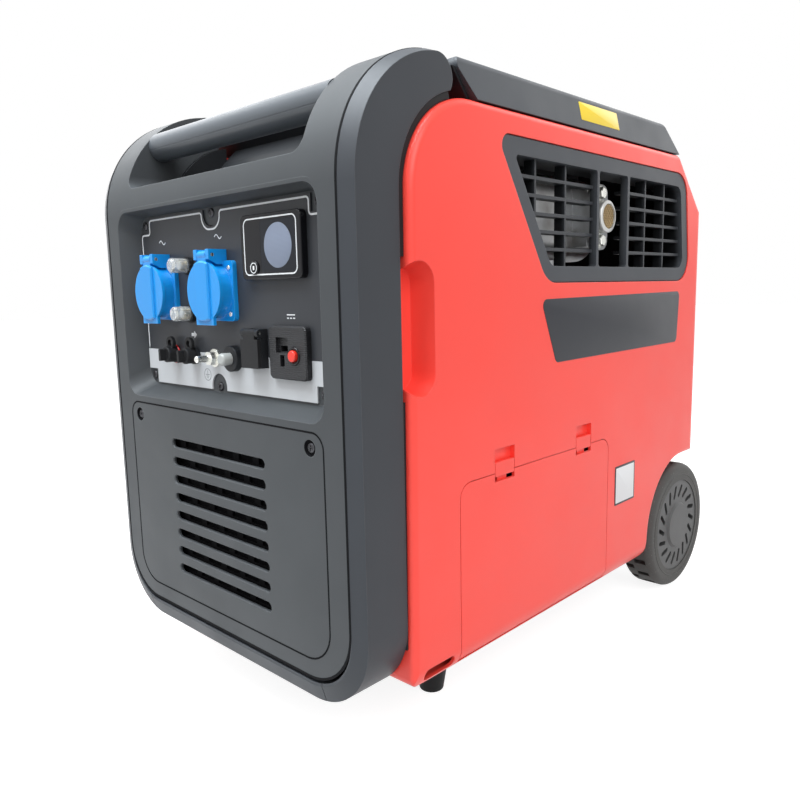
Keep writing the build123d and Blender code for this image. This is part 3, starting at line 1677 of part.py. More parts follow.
with BuildPart() as louvre_frame:
    with BuildSketch(side_plane(louvre_face - louvre_face_depth)):
        add(louvre_outline.sketch)
    extrude(amount=louvre_face_depth)
    with BuildSketch(side_plane(louvre_face - louvre_face_depth)):
        add(louvre_outline.sketch)
        offset(amount=louvre_flange)
    extrude(amount=louvre_back - louvre_face + louvre_face_depth)
    with BuildSketch(side_plane(louvre_face - louvre_face_depth)):
        add(window_openings.sketch)
    extrude(amount=louvre_face_depth + over, mode=Mode.SUBTRACT)
    # Duct wall behind the windows
    with BuildSketch(side_plane(louvre_face - louvre_face_depth)):
        add(window_outline.sketch)
        offset(amount=duct_wall)
        add(window_outline.sketch, mode=Mode.SUBTRACT)
    extrude(amount=-duct_depth)
    # Slats and bars stand back from the bezel and run behind it
    with BuildSketch(side_plane(slat_face - slat_depth)):
        for window_front, window_rear in windows:
            width = window_rear - window_front
            with Locations(((window_front + window_rear) / 2, (window_low + window_high) / 2)):
                with GridLocations(0, slat_pitch, 1, slat_count):
                    Rectangle(width + louvre_divider, slat_thickness)
                with GridLocations(width / (bar_count + 1), 0, bar_count, 1):
                    Rectangle(bar_thickness, window_height + louvre_divider)
        with BuildLine():
            Polyline(
                (louvre_front_bottom + louvre_rim / 2, window_low - louvre_divider),
                (louvre_front_top + louvre_rim / 2, window_high + louvre_divider),
                (louvre_rear_bottom - louvre_rim / 2, window_high + louvre_divider),
                (louvre_rear_bottom - louvre_rim / 2, window_low - louvre_divider),
                close=True,
            )
        make_face(mode=Mode.INTERSECT)
    extrude(amount=slat_depth)
save("louvre_frame", louvre_frame)

# Service door and its latches

with BuildPart() as maintenance_door:
    add(panel_solid)
    add(panel_hollow, mode=Mode.SUBTRACT)
    with BuildSketch(side_plane(panel_inner)):
        add(door_outline.sketch)
        for latch in latch_depth:
            with Locations((latch, (latch_notch_low + door_top) / 2)):
                Rectangle(latch_width + 2 * seam, door_top - latch_notch_low, mode=Mode.SUBTRACT)
    extrude(amount=panel_depth + over, mode=Mode.INTERSECT)
    with BuildSketch(front_plane(door_front)):
        with Locations((bead_x, door_bead_height)):
            Circle(door_bead_radius)
    extrude(amount=door_front - door_rear)
    for end, inward in ((door_front, -1), (door_rear, 1)):
        with BuildSketch(front_plane(end)):
            with Locations((bead_x, door_bead_height)):
                Circle(door_pin_radius + pin_fit)
        extrude(amount=inward * (door_pin_length - seam - door_ear + fit), mode=Mode.SUBTRACT)
save("maintenance_door", maintenance_door)

stem_back = case_half - wall - fit - latch_stem_thickness
for place, latch in zip(("front", "rear"), latch_depth):
    with BuildPart() as door_latch:
        with BuildSketch(side_plane(case_half - latch_pad_depth)):
            with Locations((latch, (latch_low + latch_high) / 2)):
                Rectangle(latch_width, latch_high - latch_low)
        extrude(amount=latch_pad_depth)
        with BuildSketch(side_plane(stem_back)):
            with Locations((latch, (latch_low + door_top - seam) / 2)):
                Rectangle(latch_width, door_top - seam - latch_low)
        extrude(amount=case_half - latch_pad_depth - stem_back)
        with BuildSketch(side_plane(stem_back)):
            with Locations((latch, (latch_stem_low + latch_low) / 2)):
                Rectangle(latch_width / 2, latch_low - latch_stem_low)
        extrude(amount=latch_stem_thickness)
    save(f"door_latch_{place}", door_latch)

# Base tray

tray_half = panel_inner - seam
tray_rear = case_length - wall - seam
tray_length = tray_rear - tray_front
tray_top = tray_floor + tray_wall
house_front = arch_depth - arch_cut_radius
boss_start = tray_half - axle_boss_length
with BuildPart() as base_tray:
    with BuildSketch(plan_plane(tray_floor)):
        with Locations((0, tray_front + tray_length / 2)):
            Rectangle(2 * tray_half, tray_length)
    extrude(amount=tray_wall_height)
    with BuildSketch(plan_plane(tray_top)):
        with Locations((0, tray_front + tray_length / 2)):
            Rectangle(2 * (tray_half - tray_wall), tray_length - 2 * tray_wall)
    extrude(amount=tray_wall_height, mode=Mode.SUBTRACT)
    for plate_x in (-tray_half, tray_half - tray_wall):
        with BuildSketch(side_plane(plate_x)):
            with Locations(((house_front + tray_rear) / 2, tray_floor + wheel_house_height / 2)):
                Rectangle(tray_rear - house_front, wheel_house_height)
        extrude(amount=tray_wall)
    for boss_x in (-tray_half, boss_start):
        with BuildSketch(side_plane(boss_x)):
            with Locations((wheel_depth, wheel_height)):
                Circle(axle_boss_radius)
            with Locations((wheel_depth, (tray_floor + wheel_height) / 2)):
                Rectangle(2 * axle_boss_radius, wheel_height - tray_floor)
        extrude(amount=axle_boss_length)
    with BuildSketch(side_plane(-tray_half)):
        with Locations((wheel_depth, wheel_height)):
            Circle(axle_radius + axle_fit)
    extrude(amount=2 * tray_half, mode=Mode.SUBTRACT)
save("base_tray", base_tray)

with BuildPart() as front_feet:
    for x in (foot_inset - tray_half, tray_half - foot_inset):
        with BuildSketch(plan_plane(-case_lift)):
            with Locations((x, foot_depth)):
                Circle(foot_tip_radius)
        with BuildSketch(plan_plane(tray_floor)):
            with Locations((x, foot_depth)):
                Circle(foot_top_radius)
        loft(ruled=True)
    foot_tips = front_feet.faces().group_by(Axis.Z)[0]
    fillet(foot_tips.edges(), foot_edge)
save("front_feet", front_feet)

# Axle and wheels

axle_end = wheel_outer - axle_cover
collar_start = tray_half + fit
collar_end = wheel_inner - fit
with BuildPart() as axle:
    with BuildSketch(side_plane(-axle_end)):
        with Locations((wheel_depth, wheel_height)):
            Circle(axle_radius)
    extrude(amount=2 * axle_end)
    for x in (-collar_end, collar_start):
        with BuildSketch(side_plane(x)):
            with Locations((wheel_depth, wheel_height)):
                Circle(axle_collar_radius)
        extrude(amount=collar_end - collar_start)
save("axle", axle)

wheel_axis = Axis((0, fascia_y + wheel_depth, wheel_radius), (1, 0, 0))
wheel_plane = Plane(
    origin=(0, fascia_y + wheel_depth, wheel_radius), x_dir=(1, 0, 0), z_dir=(0, -1, 0)
)
disc_face = wheel_outer - disc_recess
disc_web = 2 * disc_slot_depth
bore_end = axle_end + fit
with BuildPart() as tyre_right:
    with BuildSketch(wheel_plane) as tyre_section:
        with Locations(((wheel_inner + wheel_outer) / 2, (rim_radius + wheel_radius) / 2)):
            Rectangle(wheel_width, wheel_radius - rim_radius)
        fillet(tyre_section.vertices().group_by(Axis.Y)[-1], tyre_edge)
    revolve(axis=wheel_axis)
    groove_height = wheel_radius - lug_groove_depth / 2
    outer_groove = wheel_outer - lug_shoulder - lug_groove_reach
    for groove_start, turn in ((wheel_inner, 0), (outer_groove, 180 / lug_count)):
        with BuildSketch(side_plane(groove_start)):
            with Locations((wheel_depth, wheel_height)):
                with PolarLocations(wheel_radius, lug_count, start_angle=turn):
                    Rectangle(2 * lug_groove_depth, lug_groove_width)
        extrude(amount=lug_groove_reach, mode=Mode.SUBTRACT)
save("tyre_right", tyre_right)

with BuildPart() as wheel_right:
    with BuildSketch(wheel_plane):
        with BuildLine():
            Polyline(
                (wheel_inner, 0),
                (wheel_inner, hub_cap_radius),
                (disc_face - disc_web, hub_cap_radius),
                (disc_face - disc_web, rim_radius - 2 * wall),
                (wheel_inner, rim_radius - 2 * wall),
                (wheel_inner, rim_radius - fit / 2),
                (disc_face, rim_radius - fit / 2),
                (disc_face, hub_cap_radius),
                (disc_face + hub_cap_rise, hub_cap_radius - hub_cap_rise),
                (disc_face + hub_cap_rise, 0),
                close=True,
            )
        make_face()
    revolve(axis=wheel_axis)
    with BuildSketch(side_plane(disc_face)):
        with Locations((wheel_depth, wheel_height)):
            with PolarLocations((disc_slot_inner + disc_slot_outer) / 2, disc_slot_count):
                SlotOverall(disc_slot_outer - disc_slot_inner, disc_slot_width, rotation=disc_slot_tilt)
    extrude(amount=-disc_slot_depth, mode=Mode.SUBTRACT)
    with BuildSketch(side_plane(wheel_inner)):
        with Locations((wheel_depth, wheel_height)):
            Circle(axle_radius + axle_fit)
    extrude(amount=bore_end - wheel_inner, mode=Mode.SUBTRACT)
save("wheel_right", wheel_right)

with BuildPart() as tyre_left:
    mirror(tyre_right.part, about=Plane.YZ)
save("tyre_left", tyre_left)

with BuildPart() as wheel_left:
    mirror(wheel_right.part, about=Plane.YZ)
save("wheel_left", wheel_left)

# Engine block on rubber mounts

barrel_depth_middle = (block_front + block_rear) / 2
fin_pitch = (barrel_top - block_high) / fin_count
with BuildPart() as engine_block:
    with BuildSketch(plan_plane(block_low)):
        with Locations(((block_left + block_right) / 2, barrel_depth_middle)):
            RectangleRounded(block_right - block_left, block_rear - block_front, block_radius)
    extrude(amount=block_high - block_low)
    with BuildSketch(plan_plane(block_high)):
        with Locations((crank_x, barrel_depth_middle)):
            Rectangle(2 * barrel_half, 2 * barrel_half)
    extrude(amount=barrel_top - block_high)
    for fin in range(fin_count):
        with BuildSketch(plan_plane(block_high + fin_pitch * (fin + 1) - fin_thickness)):
            with Locations((crank_x, barrel_depth_middle)):
                RectangleRounded(
                    2 * (barrel_half + fin_overhang), 2 * (barrel_half + fin_overhang), fin_overhang
                )
        extrude(amount=fin_thickness)
    with BuildSketch(front_plane(block_front)):
        with Locations((crank_x, crank_z)):
            Circle(shaft_radius + shaft_fit)
    extrude(amount=-(block_rear - block_front) / 2, mode=Mode.SUBTRACT)
    with BuildSketch(side_plane(block_right)):
        with Locations((oil_depth, oil_height)):
            Circle(oil_stick_radius + fit)
    extrude(amount=-oil_stick_length - wall, mode=Mode.SUBTRACT)
save("engine_block", engine_block)

with BuildPart() as engine_mounts:
    for x in (block_left + mount_inset, block_right - mount_inset):
        for depth in (block_front + mount_inset, block_rear - mount_inset):
            with BuildSketch(plan_plane(tray_top)):
                with Locations((x, depth)):
                    Circle(mount_radius)
            extrude(amount=block_low - tray_top)
save("engine_mounts", engine_mounts)

# Generator housing, flywheel with fan, and starter pulley on the crank line

boss_end = pulley_front + pulley_width + fit
with BuildPart() as generator_housing:
    with BuildSketch(front_plane(housing_front)):
        with Locations((crank_x, crank_z)):
            Circle(housing_radius)
    extrude(amount=housing_front - block_front)
    with BuildSketch(front_plane(housing_front + housing_wall)):
        with Locations((crank_x, crank_z)):
            Circle(housing_radius - housing_wall)
    extrude(amount=housing_front + housing_wall - block_front, mode=Mode.SUBTRACT)
    with BuildSketch(front_plane(housing_front)):
        with Locations((crank_x, crank_z)):
            with PolarLocations((pulley_radius + housing_radius) / 2, fan_blade_count):
                SlotOverall(housing_slot_length, housing_slot_width)
    extrude(amount=-housing_wall, mode=Mode.SUBTRACT)
    with BuildSketch(front_plane(housing_front)):
        with Locations((crank_x, crank_z)):
            Circle(pulley_boss_radius)
    extrude(amount=housing_front - boss_end)
    with BuildSketch(side_plane(crank_x - housing_radius)):
        with Locations((starter_depth, starter_z)):
            Circle(starter_eye_radius)
    extrude(amount=housing_radius / 2, mode=Mode.SUBTRACT)
save("generator_housing", generator_housing)

shaft_rear = block_front + (block_rear - block_front) / 2 - wall
with BuildPart() as flywheel:
    with BuildSketch(front_plane(flywheel_front)):
        with Locations((crank_x, crank_z)):
            Circle(flywheel_radius)
    extrude(amount=flywheel_front - flywheel_rear)
    with BuildSketch(front_plane(fan_front)):
        with Locations((crank_x, crank_z)):
            with PolarLocations((fan_hub_radius + flywheel_radius) / 2 - wall, fan_blade_count):
                Rectangle(flywheel_radius - fan_hub_radius, fan_blade_thickness)
    extrude(amount=fan_front - flywheel_front)
    with BuildSketch(front_plane(fan_front)):
        with Locations((crank_x, crank_z)):
            Circle(shaft_radius)
    extrude(amount=fan_front - shaft_rear)
save("flywheel", flywheel)

with BuildPart() as starter_pulley:
    with BuildSketch(front_plane(pulley_front)):
        with Locations((crank_x, crank_z)):
            Circle(pulley_core_radius)
    extrude(amount=-pulley_width)
    for start in (pulley_front, pulley_front + pulley_width - pulley_flange):
        with BuildSketch(front_plane(start)):
            with Locations((crank_x, crank_z)):
                Circle(pulley_radius)
        extrude(amount=-pulley_flange)
    with BuildSketch(front_plane(pulley_front)):
        with Locations((crank_x, crank_z)):
            Circle(pulley_boss_radius + shaft_fit)
    extrude(amount=-pulley_width, mode=Mode.SUBTRACT)
save("starter_pulley", starter_pulley)

grip_back = -starter_floor - fit
with BuildPart() as starter_grip:
    with BuildSketch(side_plane(grip_back)):
        with Locations((starter_depth, starter_z)):
            SlotOverall(starter_grip_length, starter_grip_height)
    extrude(amount=-starter_grip_depth)
    fillet(starter_grip.faces().sort_by(Axis.X)[0].edges(), starter_grip_round)
    with BuildSketch(side_plane(grip_back)):
        with Locations((starter_depth, starter_z)):
            Circle(rope_radius)
    extrude(amount=crank_x + starter_pull - grip_back)
save("starter_grip", starter_grip)

# Engine control knob in its dish on the left side

knob_back = -case_half + knob_dish_depth - fit
with BuildPart() as engine_knob:
    with BuildSketch(side_plane(knob_back)):
        with Locations((knob_depth, knob_height)):
            Circle(knob_radius)
    extrude(amount=-knob_rise)
    with BuildSketch(side_plane(knob_back - knob_rise)):
        with Locations((knob_depth, knob_height)):
            SlotOverall(knob_rib_length, knob_rib_width, rotation=90)
    extrude(amount=-knob_rib_rise)
    fillet(engine_knob.faces().sort_by(Axis.X)[0].edges(), edge_break)
    with BuildSketch(side_plane(knob_back)):
        with Locations((knob_depth, knob_height)):
            Circle(knob_stem_radius)
    extrude(amount=knob_stem_length)
save("engine_knob", engine_knob)

# Muffler with its outlet behind the louvre

muffler_face = muffler_x + muffler_half_width
flange_face = muffler_face + outlet_box_reach
with BuildPart() as muffler:
    with BuildSketch(front_plane(muffler_front)):
        with Locations((muffler_x, muffler_z)):
            RectangleRounded(2 * muffler_half_width, 2 * muffler_half_height, muffler_radius)
    extrude(amount=muffler_front - muffler_rear)
    with BuildSketch(side_plane(muffler_x)):
        with Locations((outlet_depth, muffler_z)):
            Rectangle(outlet_flange_width, outlet_flange_height - 2 * wall)
    extrude(amount=flange_face - muffler_x)
    with BuildSketch(side_plane(flange_face)):
        with Locations((outlet_depth, muffler_z)):
            RectangleRounded(outlet_flange_width, outlet_flange_height, outlet_flange_radius)
    extrude(amount=outlet_flange_thickness)
    with BuildSketch(side_plane(flange_face + outlet_flange_thickness)):
        with Locations((outlet_depth, muffler_z)):
            with GridLocations(0, outlet_bolt_pitch, 1, 2):
                RegularPolygon(outlet_bolt_radius, hex_sides)
    extrude(amount=outlet_bolt_height)
    with BuildSketch(side_plane(flange_face)):
        with Locations((outlet_depth, muffler_z)):
            Circle(outlet_radius)
    extrude(amount=outlet_front - flange_face)
    with BuildSketch(side_plane(outlet_front)):
        with Locations((outlet_depth, muffler_z)):
            Circle(outlet_bore)
    extrude(amount=muffler_face - outlet_front, mode=Mode.SUBTRACT)
    pipe_start = crank_x + barrel_half + fin_overhang
    with BuildLine(front_plane(barrel_depth_middle)) as pipe_path:
        FilletPolyline(
            (pipe_start, exhaust_port_z),
            (muffler_x, exhaust_port_z),
            (muffler_x, muffler_z),
            radius=exhaust_pipe_bend,
        )
    with BuildSketch(side_plane(pipe_start)):
        with Locations((barrel_depth_middle, exhaust_port_z)):
            Circle(exhaust_pipe_radius)
    sweep(path=pipe_path.wires()[0])
save("muffler", muffler)

# Inverter, air cleaner and oil filler cap

inverter_fin_pitch = 2 * (inverter_half - wall) / (inverter_fin_count - 1)
with BuildPart() as inverter:
    with BuildSketch(front_plane(inverter_front)):
        with Locations((0, (tray_top + inverter_top) / 2)):
            Rectangle(2 * inverter_half, inverter_top - tray_top)
    extrude(amount=inverter_front - inverter_rear)
    with BuildSketch(front_plane(inverter_front)):
        with Locations((0, (tray_top + tray_wall_height + inverter_top) / 2)):
            with GridLocations(inverter_fin_pitch, 0, inverter_fin_count, 1):
                Rectangle(inverter_fin_thickness, inverter_top - tray_top - tray_wall_height)
    extrude(amount=inverter_fin_depth)
save("inverter", inverter)

with BuildPart() as air_cleaner:
    with BuildSketch(side_plane(block_right)):
        with Locations(((cleaner_front + cleaner_rear) / 2, (cleaner_low + cleaner_high) / 2)):
            RectangleRounded(cleaner_rear - cleaner_front, cleaner_high - cleaner_low, cleaner_radius)
    extrude(amount=cleaner_reach)
    fillet(air_cleaner.faces().sort_by(Axis.X)[-1].edges(), cleaner_radius / 2)
save("air_cleaner", air_cleaner)

with BuildPart() as oil_filler_cap:
    with BuildSketch(side_plane(block_right + fit)):
        with Locations((oil_depth, oil_height)):
            Circle(oil_cap_radius)
            with PolarLocations(oil_cap_radius, oil_rib_count):
                Circle(oil_rib_radius, mode=Mode.SUBTRACT)
    extrude(amount=oil_cap_height)
    with BuildSketch(side_plane(block_right + fit)):
        with Locations((oil_depth, oil_height)):
            Circle(oil_stick_radius)
    extrude(amount=-oil_stick_length)
save("oil_filler_cap", oil_filler_cap)
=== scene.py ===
"""Looks of a wheeled inverter generator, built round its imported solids.

Everything is in metres in the frame's own axes: +Z is up, -Y points at whoever reads the
control panel, and +X is the side with the service door.
"""

import logging
import math
from dataclasses import dataclass
from enum import Enum
from functools import cached_property

import bmesh
import bpy
import numpy as np
from mathutils import Matrix, Vector


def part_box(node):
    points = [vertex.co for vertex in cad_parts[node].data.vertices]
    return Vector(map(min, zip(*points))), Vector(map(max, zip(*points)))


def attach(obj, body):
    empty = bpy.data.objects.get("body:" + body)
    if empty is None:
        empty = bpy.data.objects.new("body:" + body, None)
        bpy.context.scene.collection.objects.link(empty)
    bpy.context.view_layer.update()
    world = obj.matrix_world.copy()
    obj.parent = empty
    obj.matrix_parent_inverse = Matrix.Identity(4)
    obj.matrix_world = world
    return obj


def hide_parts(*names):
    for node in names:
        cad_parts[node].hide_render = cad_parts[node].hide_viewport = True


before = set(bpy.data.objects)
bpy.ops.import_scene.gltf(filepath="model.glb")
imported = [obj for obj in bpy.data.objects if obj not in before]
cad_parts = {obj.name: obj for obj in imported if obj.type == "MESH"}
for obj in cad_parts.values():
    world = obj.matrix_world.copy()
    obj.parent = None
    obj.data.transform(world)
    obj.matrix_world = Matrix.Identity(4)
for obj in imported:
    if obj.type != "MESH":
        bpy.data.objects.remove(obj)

Pair = tuple[float, float]
Colour = tuple[float, float, float]
Place = tuple[float, float, float]
Places = tuple[Pair, ...]
Sheet = tuple[float, ...]
Loop = np.ndarray
Socket = bpy.types.NodeSocket
Value = Socket | float | Colour

LOG = logging.getLogger("generator")
MM = 0.001
PLATE_FOOT = 266.0 * MM
BAND_TOP = 298.0
WELD = 0.002 * MM
TINY = 1e-12
INK_FOOT = 0.02 * MM
RIM_SHARE = 0.3
OUTWARD = Vector((0.0, -1.0, 0.0))
RIGHTWARD = Vector((1.0, 0.0, 0.0))
NOISE_MIDDLE = (0.3, 0.7)
RGBA = 4
MIX_FIRST, MIX_SECOND, MIX_RESULT = 6, 7, 2
BEVEL_SAMPLES = 4
RING_STEPS = 40
WIRE_STEPS = 12
WHITE = (1.0, 1.0, 1.0)


class Body(Enum):
    """Bodies of the frame that the scene's own pieces ride on."""

    CASE = "case"
    RIGHT_WHEEL = "right_wheel_body"
    LEFT_WHEEL = "left_wheel_body"
    KNOB = "engine_knob_body"
    DISPLAY_BUTTON = "display_button_body"


class Facing(Enum):
    """Ways that a plane faces: the front along -Y, the right along +X and the left along -X."""

    FRONT = "front"
    RIGHT = "right"
    LEFT = "left"


@dataclass(frozen=True)
class Datum:
    """Zero of the depths and heights that the object's sizes are given in."""

    front: float
    base: float

    @classmethod
    def read(cls) -> "Datum":
        """Find the zero in the frame.

        Returns:
            The front from the intake cover's face, and the base below the control plate's foot.
        """
        return cls(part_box("intake_cover")[0].y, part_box("control_plate")[0].z - PLATE_FOOT)

    def back(self, depth: float | np.ndarray) -> float | np.ndarray:
        """Place along Y of a depth behind the front, given in millimetres."""
        return self.front + depth * MM

    def up(self, height: float | np.ndarray) -> float | np.ndarray:
        """Place along Z of a height over the base, given in millimetres."""
        return self.base + height * MM

    def on_front(self, *places: Pair) -> list[Pair]:
        """Places on the front, from pairs of X and height in millimetres."""
        return [(across * MM, self.up(height)) for across, height in places]

    def on_side(self, *places: Pair) -> list[Pair]:
        """Places on a side, from pairs of depth and height in millimetres."""
        return [(self.back(depth), self.up(height)) for depth, height in places]


@dataclass(frozen=True)
class Plane:
    """A plane of the object: which way it faces, and its place along that axis."""

    facing: Facing
    level: float

    def place(self, flat: np.ndarray, height: float) -> np.ndarray:
        """Stand flat coordinates on the plane.

        Args:
            flat: Array ending in 2: across and up.
            height: How far the points stand out of the plane.

        Returns:
            Array of the same shape ending in 3.
        """
        across, up = flat[..., 0], flat[..., 1]
        out = np.full(across.shape, height)
        if self.facing is Facing.FRONT:
            return np.stack([across, self.level - out, up], axis=-1)
        sign = 1.0 if self.facing is Facing.RIGHT else -1.0
        return np.stack([self.level + sign * out, across, up], axis=-1)


# Outlines


def middle(corners: tuple[Vector, Vector]) -> Vector:
    """Middle of a box, from its lowest and highest corners."""
    return 0.5 * (corners[0] + corners[1])


def rotation(angle: float) -> np.ndarray:
    """Matrix that turns flat points by an angle in radians."""
    return np.array([[math.cos(angle), -math.sin(angle)], [math.sin(angle), math.cos(angle)]])


def around(steps: int) -> np.ndarray:
    """Angles of a full turn, evenly spaced, without the last."""
    return np.linspace(0.0, 2.0 * math.pi, steps, endpoint=False)


def circle(radius: float, steps: int, centre: Pair = (0.0, 0.0)) -> Loop:
    """Closed loop of points at one radius, centre + radius (cos t, sin t) for t round the turn."""
    turn = around(steps)
    return np.array(centre) + radius * np.stack([np.cos(turn), np.sin(turn)], axis=-1)


def arc(centre: Pair, radius: float, angles: Pair, steps: int = RING_STEPS) -> Loop:
    """Points on an arc, centre + radius (cos t, sin t) for t between two angles in degrees."""
    turn = np.radians(np.linspace(*angles, steps))
    return np.array(centre) + radius * np.stack([np.cos(turn), np.sin(turn)], axis=-1)


def rounded(corners: list[Pair], radius: float | list[float] | np.ndarray, steps: int = 7) -> Loop:
    """Closed loop with each corner replaced by a tangent arc.

    At a corner with unit directions a and b to its neighbours the arc's centre lies on their
    bisector at radius / sin(half angle), and the arc is swept between the two tangent points.

    Args:
        corners: Corners in order.
        radius: One radius for all corners, or one for each.
        steps: Points on each arc.

    Returns:
        Array of points by 2.
    """
    here = np.array(corners, float)
    back = np.roll(here, 1, axis=0) - here
    ahead = np.roll(here, -1, axis=0) - here
    back /= np.linalg.norm(back, axis=1, keepdims=True)
    ahead /= np.linalg.norm(ahead, axis=1, keepdims=True)
    size = np.broadcast_to(np.array(radius, float), (len(here),))[:, None]
    half = 0.5 * np.arccos(np.clip((back * ahead).sum(1), -1.0, 1.0))[:, None]
    bisector = back + ahead
    bisector /= np.linalg.norm(bisector, axis=1, keepdims=True)
    centre = here + bisector * size / np.sin(half)
    first = here + back * size / np.tan(half) - centre
    last = here + ahead * size / np.tan(half) - centre
    share = np.linspace(0.0, 1.0, steps)[None, :, None]
    swept = first[:, None] * (1.0 - share) + last[:, None] * share
    swept *= size[:, None] / np.maximum(np.linalg.norm(swept, axis=2, keepdims=True), TINY)
    return (centre[:, None] + swept).reshape(-1, 2)


def box_loop(low: Pair, high: Pair, radius: float) -> Loop:
    """Rounded rectangle between two corners."""
    return rounded([low, (high[0], low[1]), high, (low[0], high[1])], radius)


def sides(path: Loop, closed: bool = True) -> np.ndarray:
    """Unit directions square to a path, to its left, from the chord of each point's neighbours."""
    if closed:
        along = np.roll(path, -1, axis=0) - np.roll(path, 1, axis=0)
    else:
        along = np.gradient(path, axis=0)
    along /= np.maximum(np.linalg.norm(along, axis=1, keepdims=True), TINY)
    return np.stack([-along[:, 1], along[:, 0]], axis=-1)


# Mesh building


def linked(name: str, data: bpy.types.ID) -> bpy.types.Object:
    """New object in the scene, at the origin, with this data."""
    made = bpy.data.objects.new(name, data)
    bpy.context.scene.collection.objects.link(made)
    return made


class Surface:
    """Collects grids of points and flat polygons into one mesh piece."""

    def __init__(self) -> None:
        """Start with no points."""
        self.points: list[np.ndarray] = []
        self.faces: list[list[int]] = []
        self.count = 0

    def grid(self, points: np.ndarray, wrap_rows: bool = False) -> None:
        """Add a grid of points, joined to their neighbours by quads, and wrapped along its columns.

        Args:
            points: Array of rows by columns by 3.
            wrap_rows: Whether the last row joins the first.
        """
        rows, columns = points.shape[:2]
        index = self.count + np.arange(rows * columns).reshape(rows, columns)
        if wrap_rows:
            index = np.vstack([index, index[:1]])
        index = np.hstack([index, index[:, :1]])
        corners = (index[:-1, :-1], index[1:, :-1], index[1:, 1:], index[:-1, 1:])
        self.faces += np.stack(corners, axis=-1).reshape(-1, 4).tolist()
        self.points.append(points.reshape(-1, 3))
        self.count += rows * columns

    def skin(self, loops: np.ndarray) -> None:
        """Add a skin through closed loops of points, with a flat face over the first and the last.

        Args:
            loops: Array of loops by points by 3.
        """
        self.grid(loops)
        for end in (loops[0], loops[-1]):
            self.faces.append(list(range(self.count, self.count + len(end))))
            self.points.append(end)
            self.count += len(end)

    def plate(self, loop: Loop, plane: Plane, thickness: float, edge: float, sink: float = 0.0) -> None:
        """Add a flat plate with a softened rim: the outline at the foot and at the shoulder, then drawn in.

        Args:
            loop: Outline of the plate, anticlockwise.
            plane: Plane that it lies on.
            thickness: How far it stands out.
            edge: Width of its softened rim.
            sink: How far its back lies below the plane.
        """
        inward = sides(loop)
        bend = RIM_SHARE * edge
        rows = ((0.0, -sink), (0.0, thickness - edge), (bend, thickness - bend), (edge, thickness))
        self.skin(np.stack([plane.place(loop + inward * inset, height) for inset, height in rows]))

    def line(self, path: Loop, plane: Plane, width: float, thickness: float, closed: bool = True) -> None:
        """Add a printed line: a flat rectangle section carried along a path, half its width each side.

        Args:
            path: Middle of the line.
            plane: Plane that it lies on.
            width: Width of the line.
            thickness: How far the ink stands out.
            closed: Whether the path is a loop.
        """
        across = sides(path, closed) * (0.5 * width)
        section = ((across, -INK_FOOT), (across, thickness), (-across, thickness), (-across, -INK_FOOT))
        points = np.stack([plane.place(path + shift, height) for shift, height in section], axis=1)
        if closed:
            self.grid(points, wrap_rows=True)
        else:
            self.skin(points)

    def turned(self, profile: Loop, centre: Vector, axis: Vector, steps: int) -> None:
        """Add a turned form: a closed profile of (along, radius) pairs swept once round an axis.

        Args:
            profile: Array of points by 2.
            centre: Where the axis starts.
            axis: Unit direction of the axis.
            steps: Points round the turn.
        """
        side = axis.orthogonal().normalized()
        other = axis.cross(side)
        turn = around(steps)
        ring = np.outer(np.cos(turn), np.array(side)) + np.outer(np.sin(turn), np.array(other))
        along = profile[:, 0][:, None, None] * np.array(axis)[None, None]
        self.grid(np.array(centre) + along + profile[:, 1][:, None, None] * ring[None], wrap_rows=True)

    def tube(self, path: np.ndarray, radius: float, steps: int) -> None:
        """Add a round wire along a path that isn't along X: circles square to the path, capped at both ends.

        Args:
            path: Array of points by 3.
            radius: Radius of the wire.
            steps: Points round the wire.
        """
        along = np.gradient(path, axis=0)
        along /= np.linalg.norm(along, axis=1, keepdims=True)
        side = np.cross(along, np.array(RIGHTWARD))
        side /= np.linalg.norm(side, axis=1, keepdims=True)
        other = np.cross(along, side)
        turn = around(steps)[None, :, None]
        self.skin(path[:, None] + radius * (np.cos(turn) * side[:, None] + np.sin(turn) * other[:, None]))

    def strip(self, datum: Datum, first: np.ndarray, second: np.ndarray, across: Pair) -> None:
        """Add a strip: a four-cornered section between two lines of (depth, height), carried along them.

        Args:
            datum: Zero of the depths and heights.
            first: One line, in millimetres.
            second: The other line, in millimetres.
            across: Where the strip starts and ends along X.
        """
        start, end = across
        corners = []
        for line, reach in ((first, start), (first, end), (second, end), (second, start)):
            level = np.full(len(line), reach)
            corners.append(np.stack([level, datum.back(line[:, 0]), datum.up(line[:, 1])], axis=-1))
        self.skin(np.stack(corners, axis=1))

    def mesh(self, name: str, smooth_angle: float) -> bpy.types.Mesh:
        """Turn what was collected into a closed mesh with its faces outward.

        Args:
            name: Name of the mesh.
            smooth_angle: Angle in degrees below which neighbouring faces shade as one.

        Returns:
            The new mesh.
        """
        made = bpy.data.meshes.new(name)
        made.from_pydata(np.concatenate(self.points).tolist(), [], self.faces)
        work = bmesh.new()
        work.from_mesh(made)
        bmesh.ops.remove_doubles(work, verts=work.verts, dist=WELD)
        bmesh.ops.recalc_face_normals(work, faces=work.faces)
        work.to_mesh(made)
        work.free()
        made.shade_smooth()
        made.set_sharp_from_angle(angle=math.radians(smooth_angle))
        return made


# Finishes


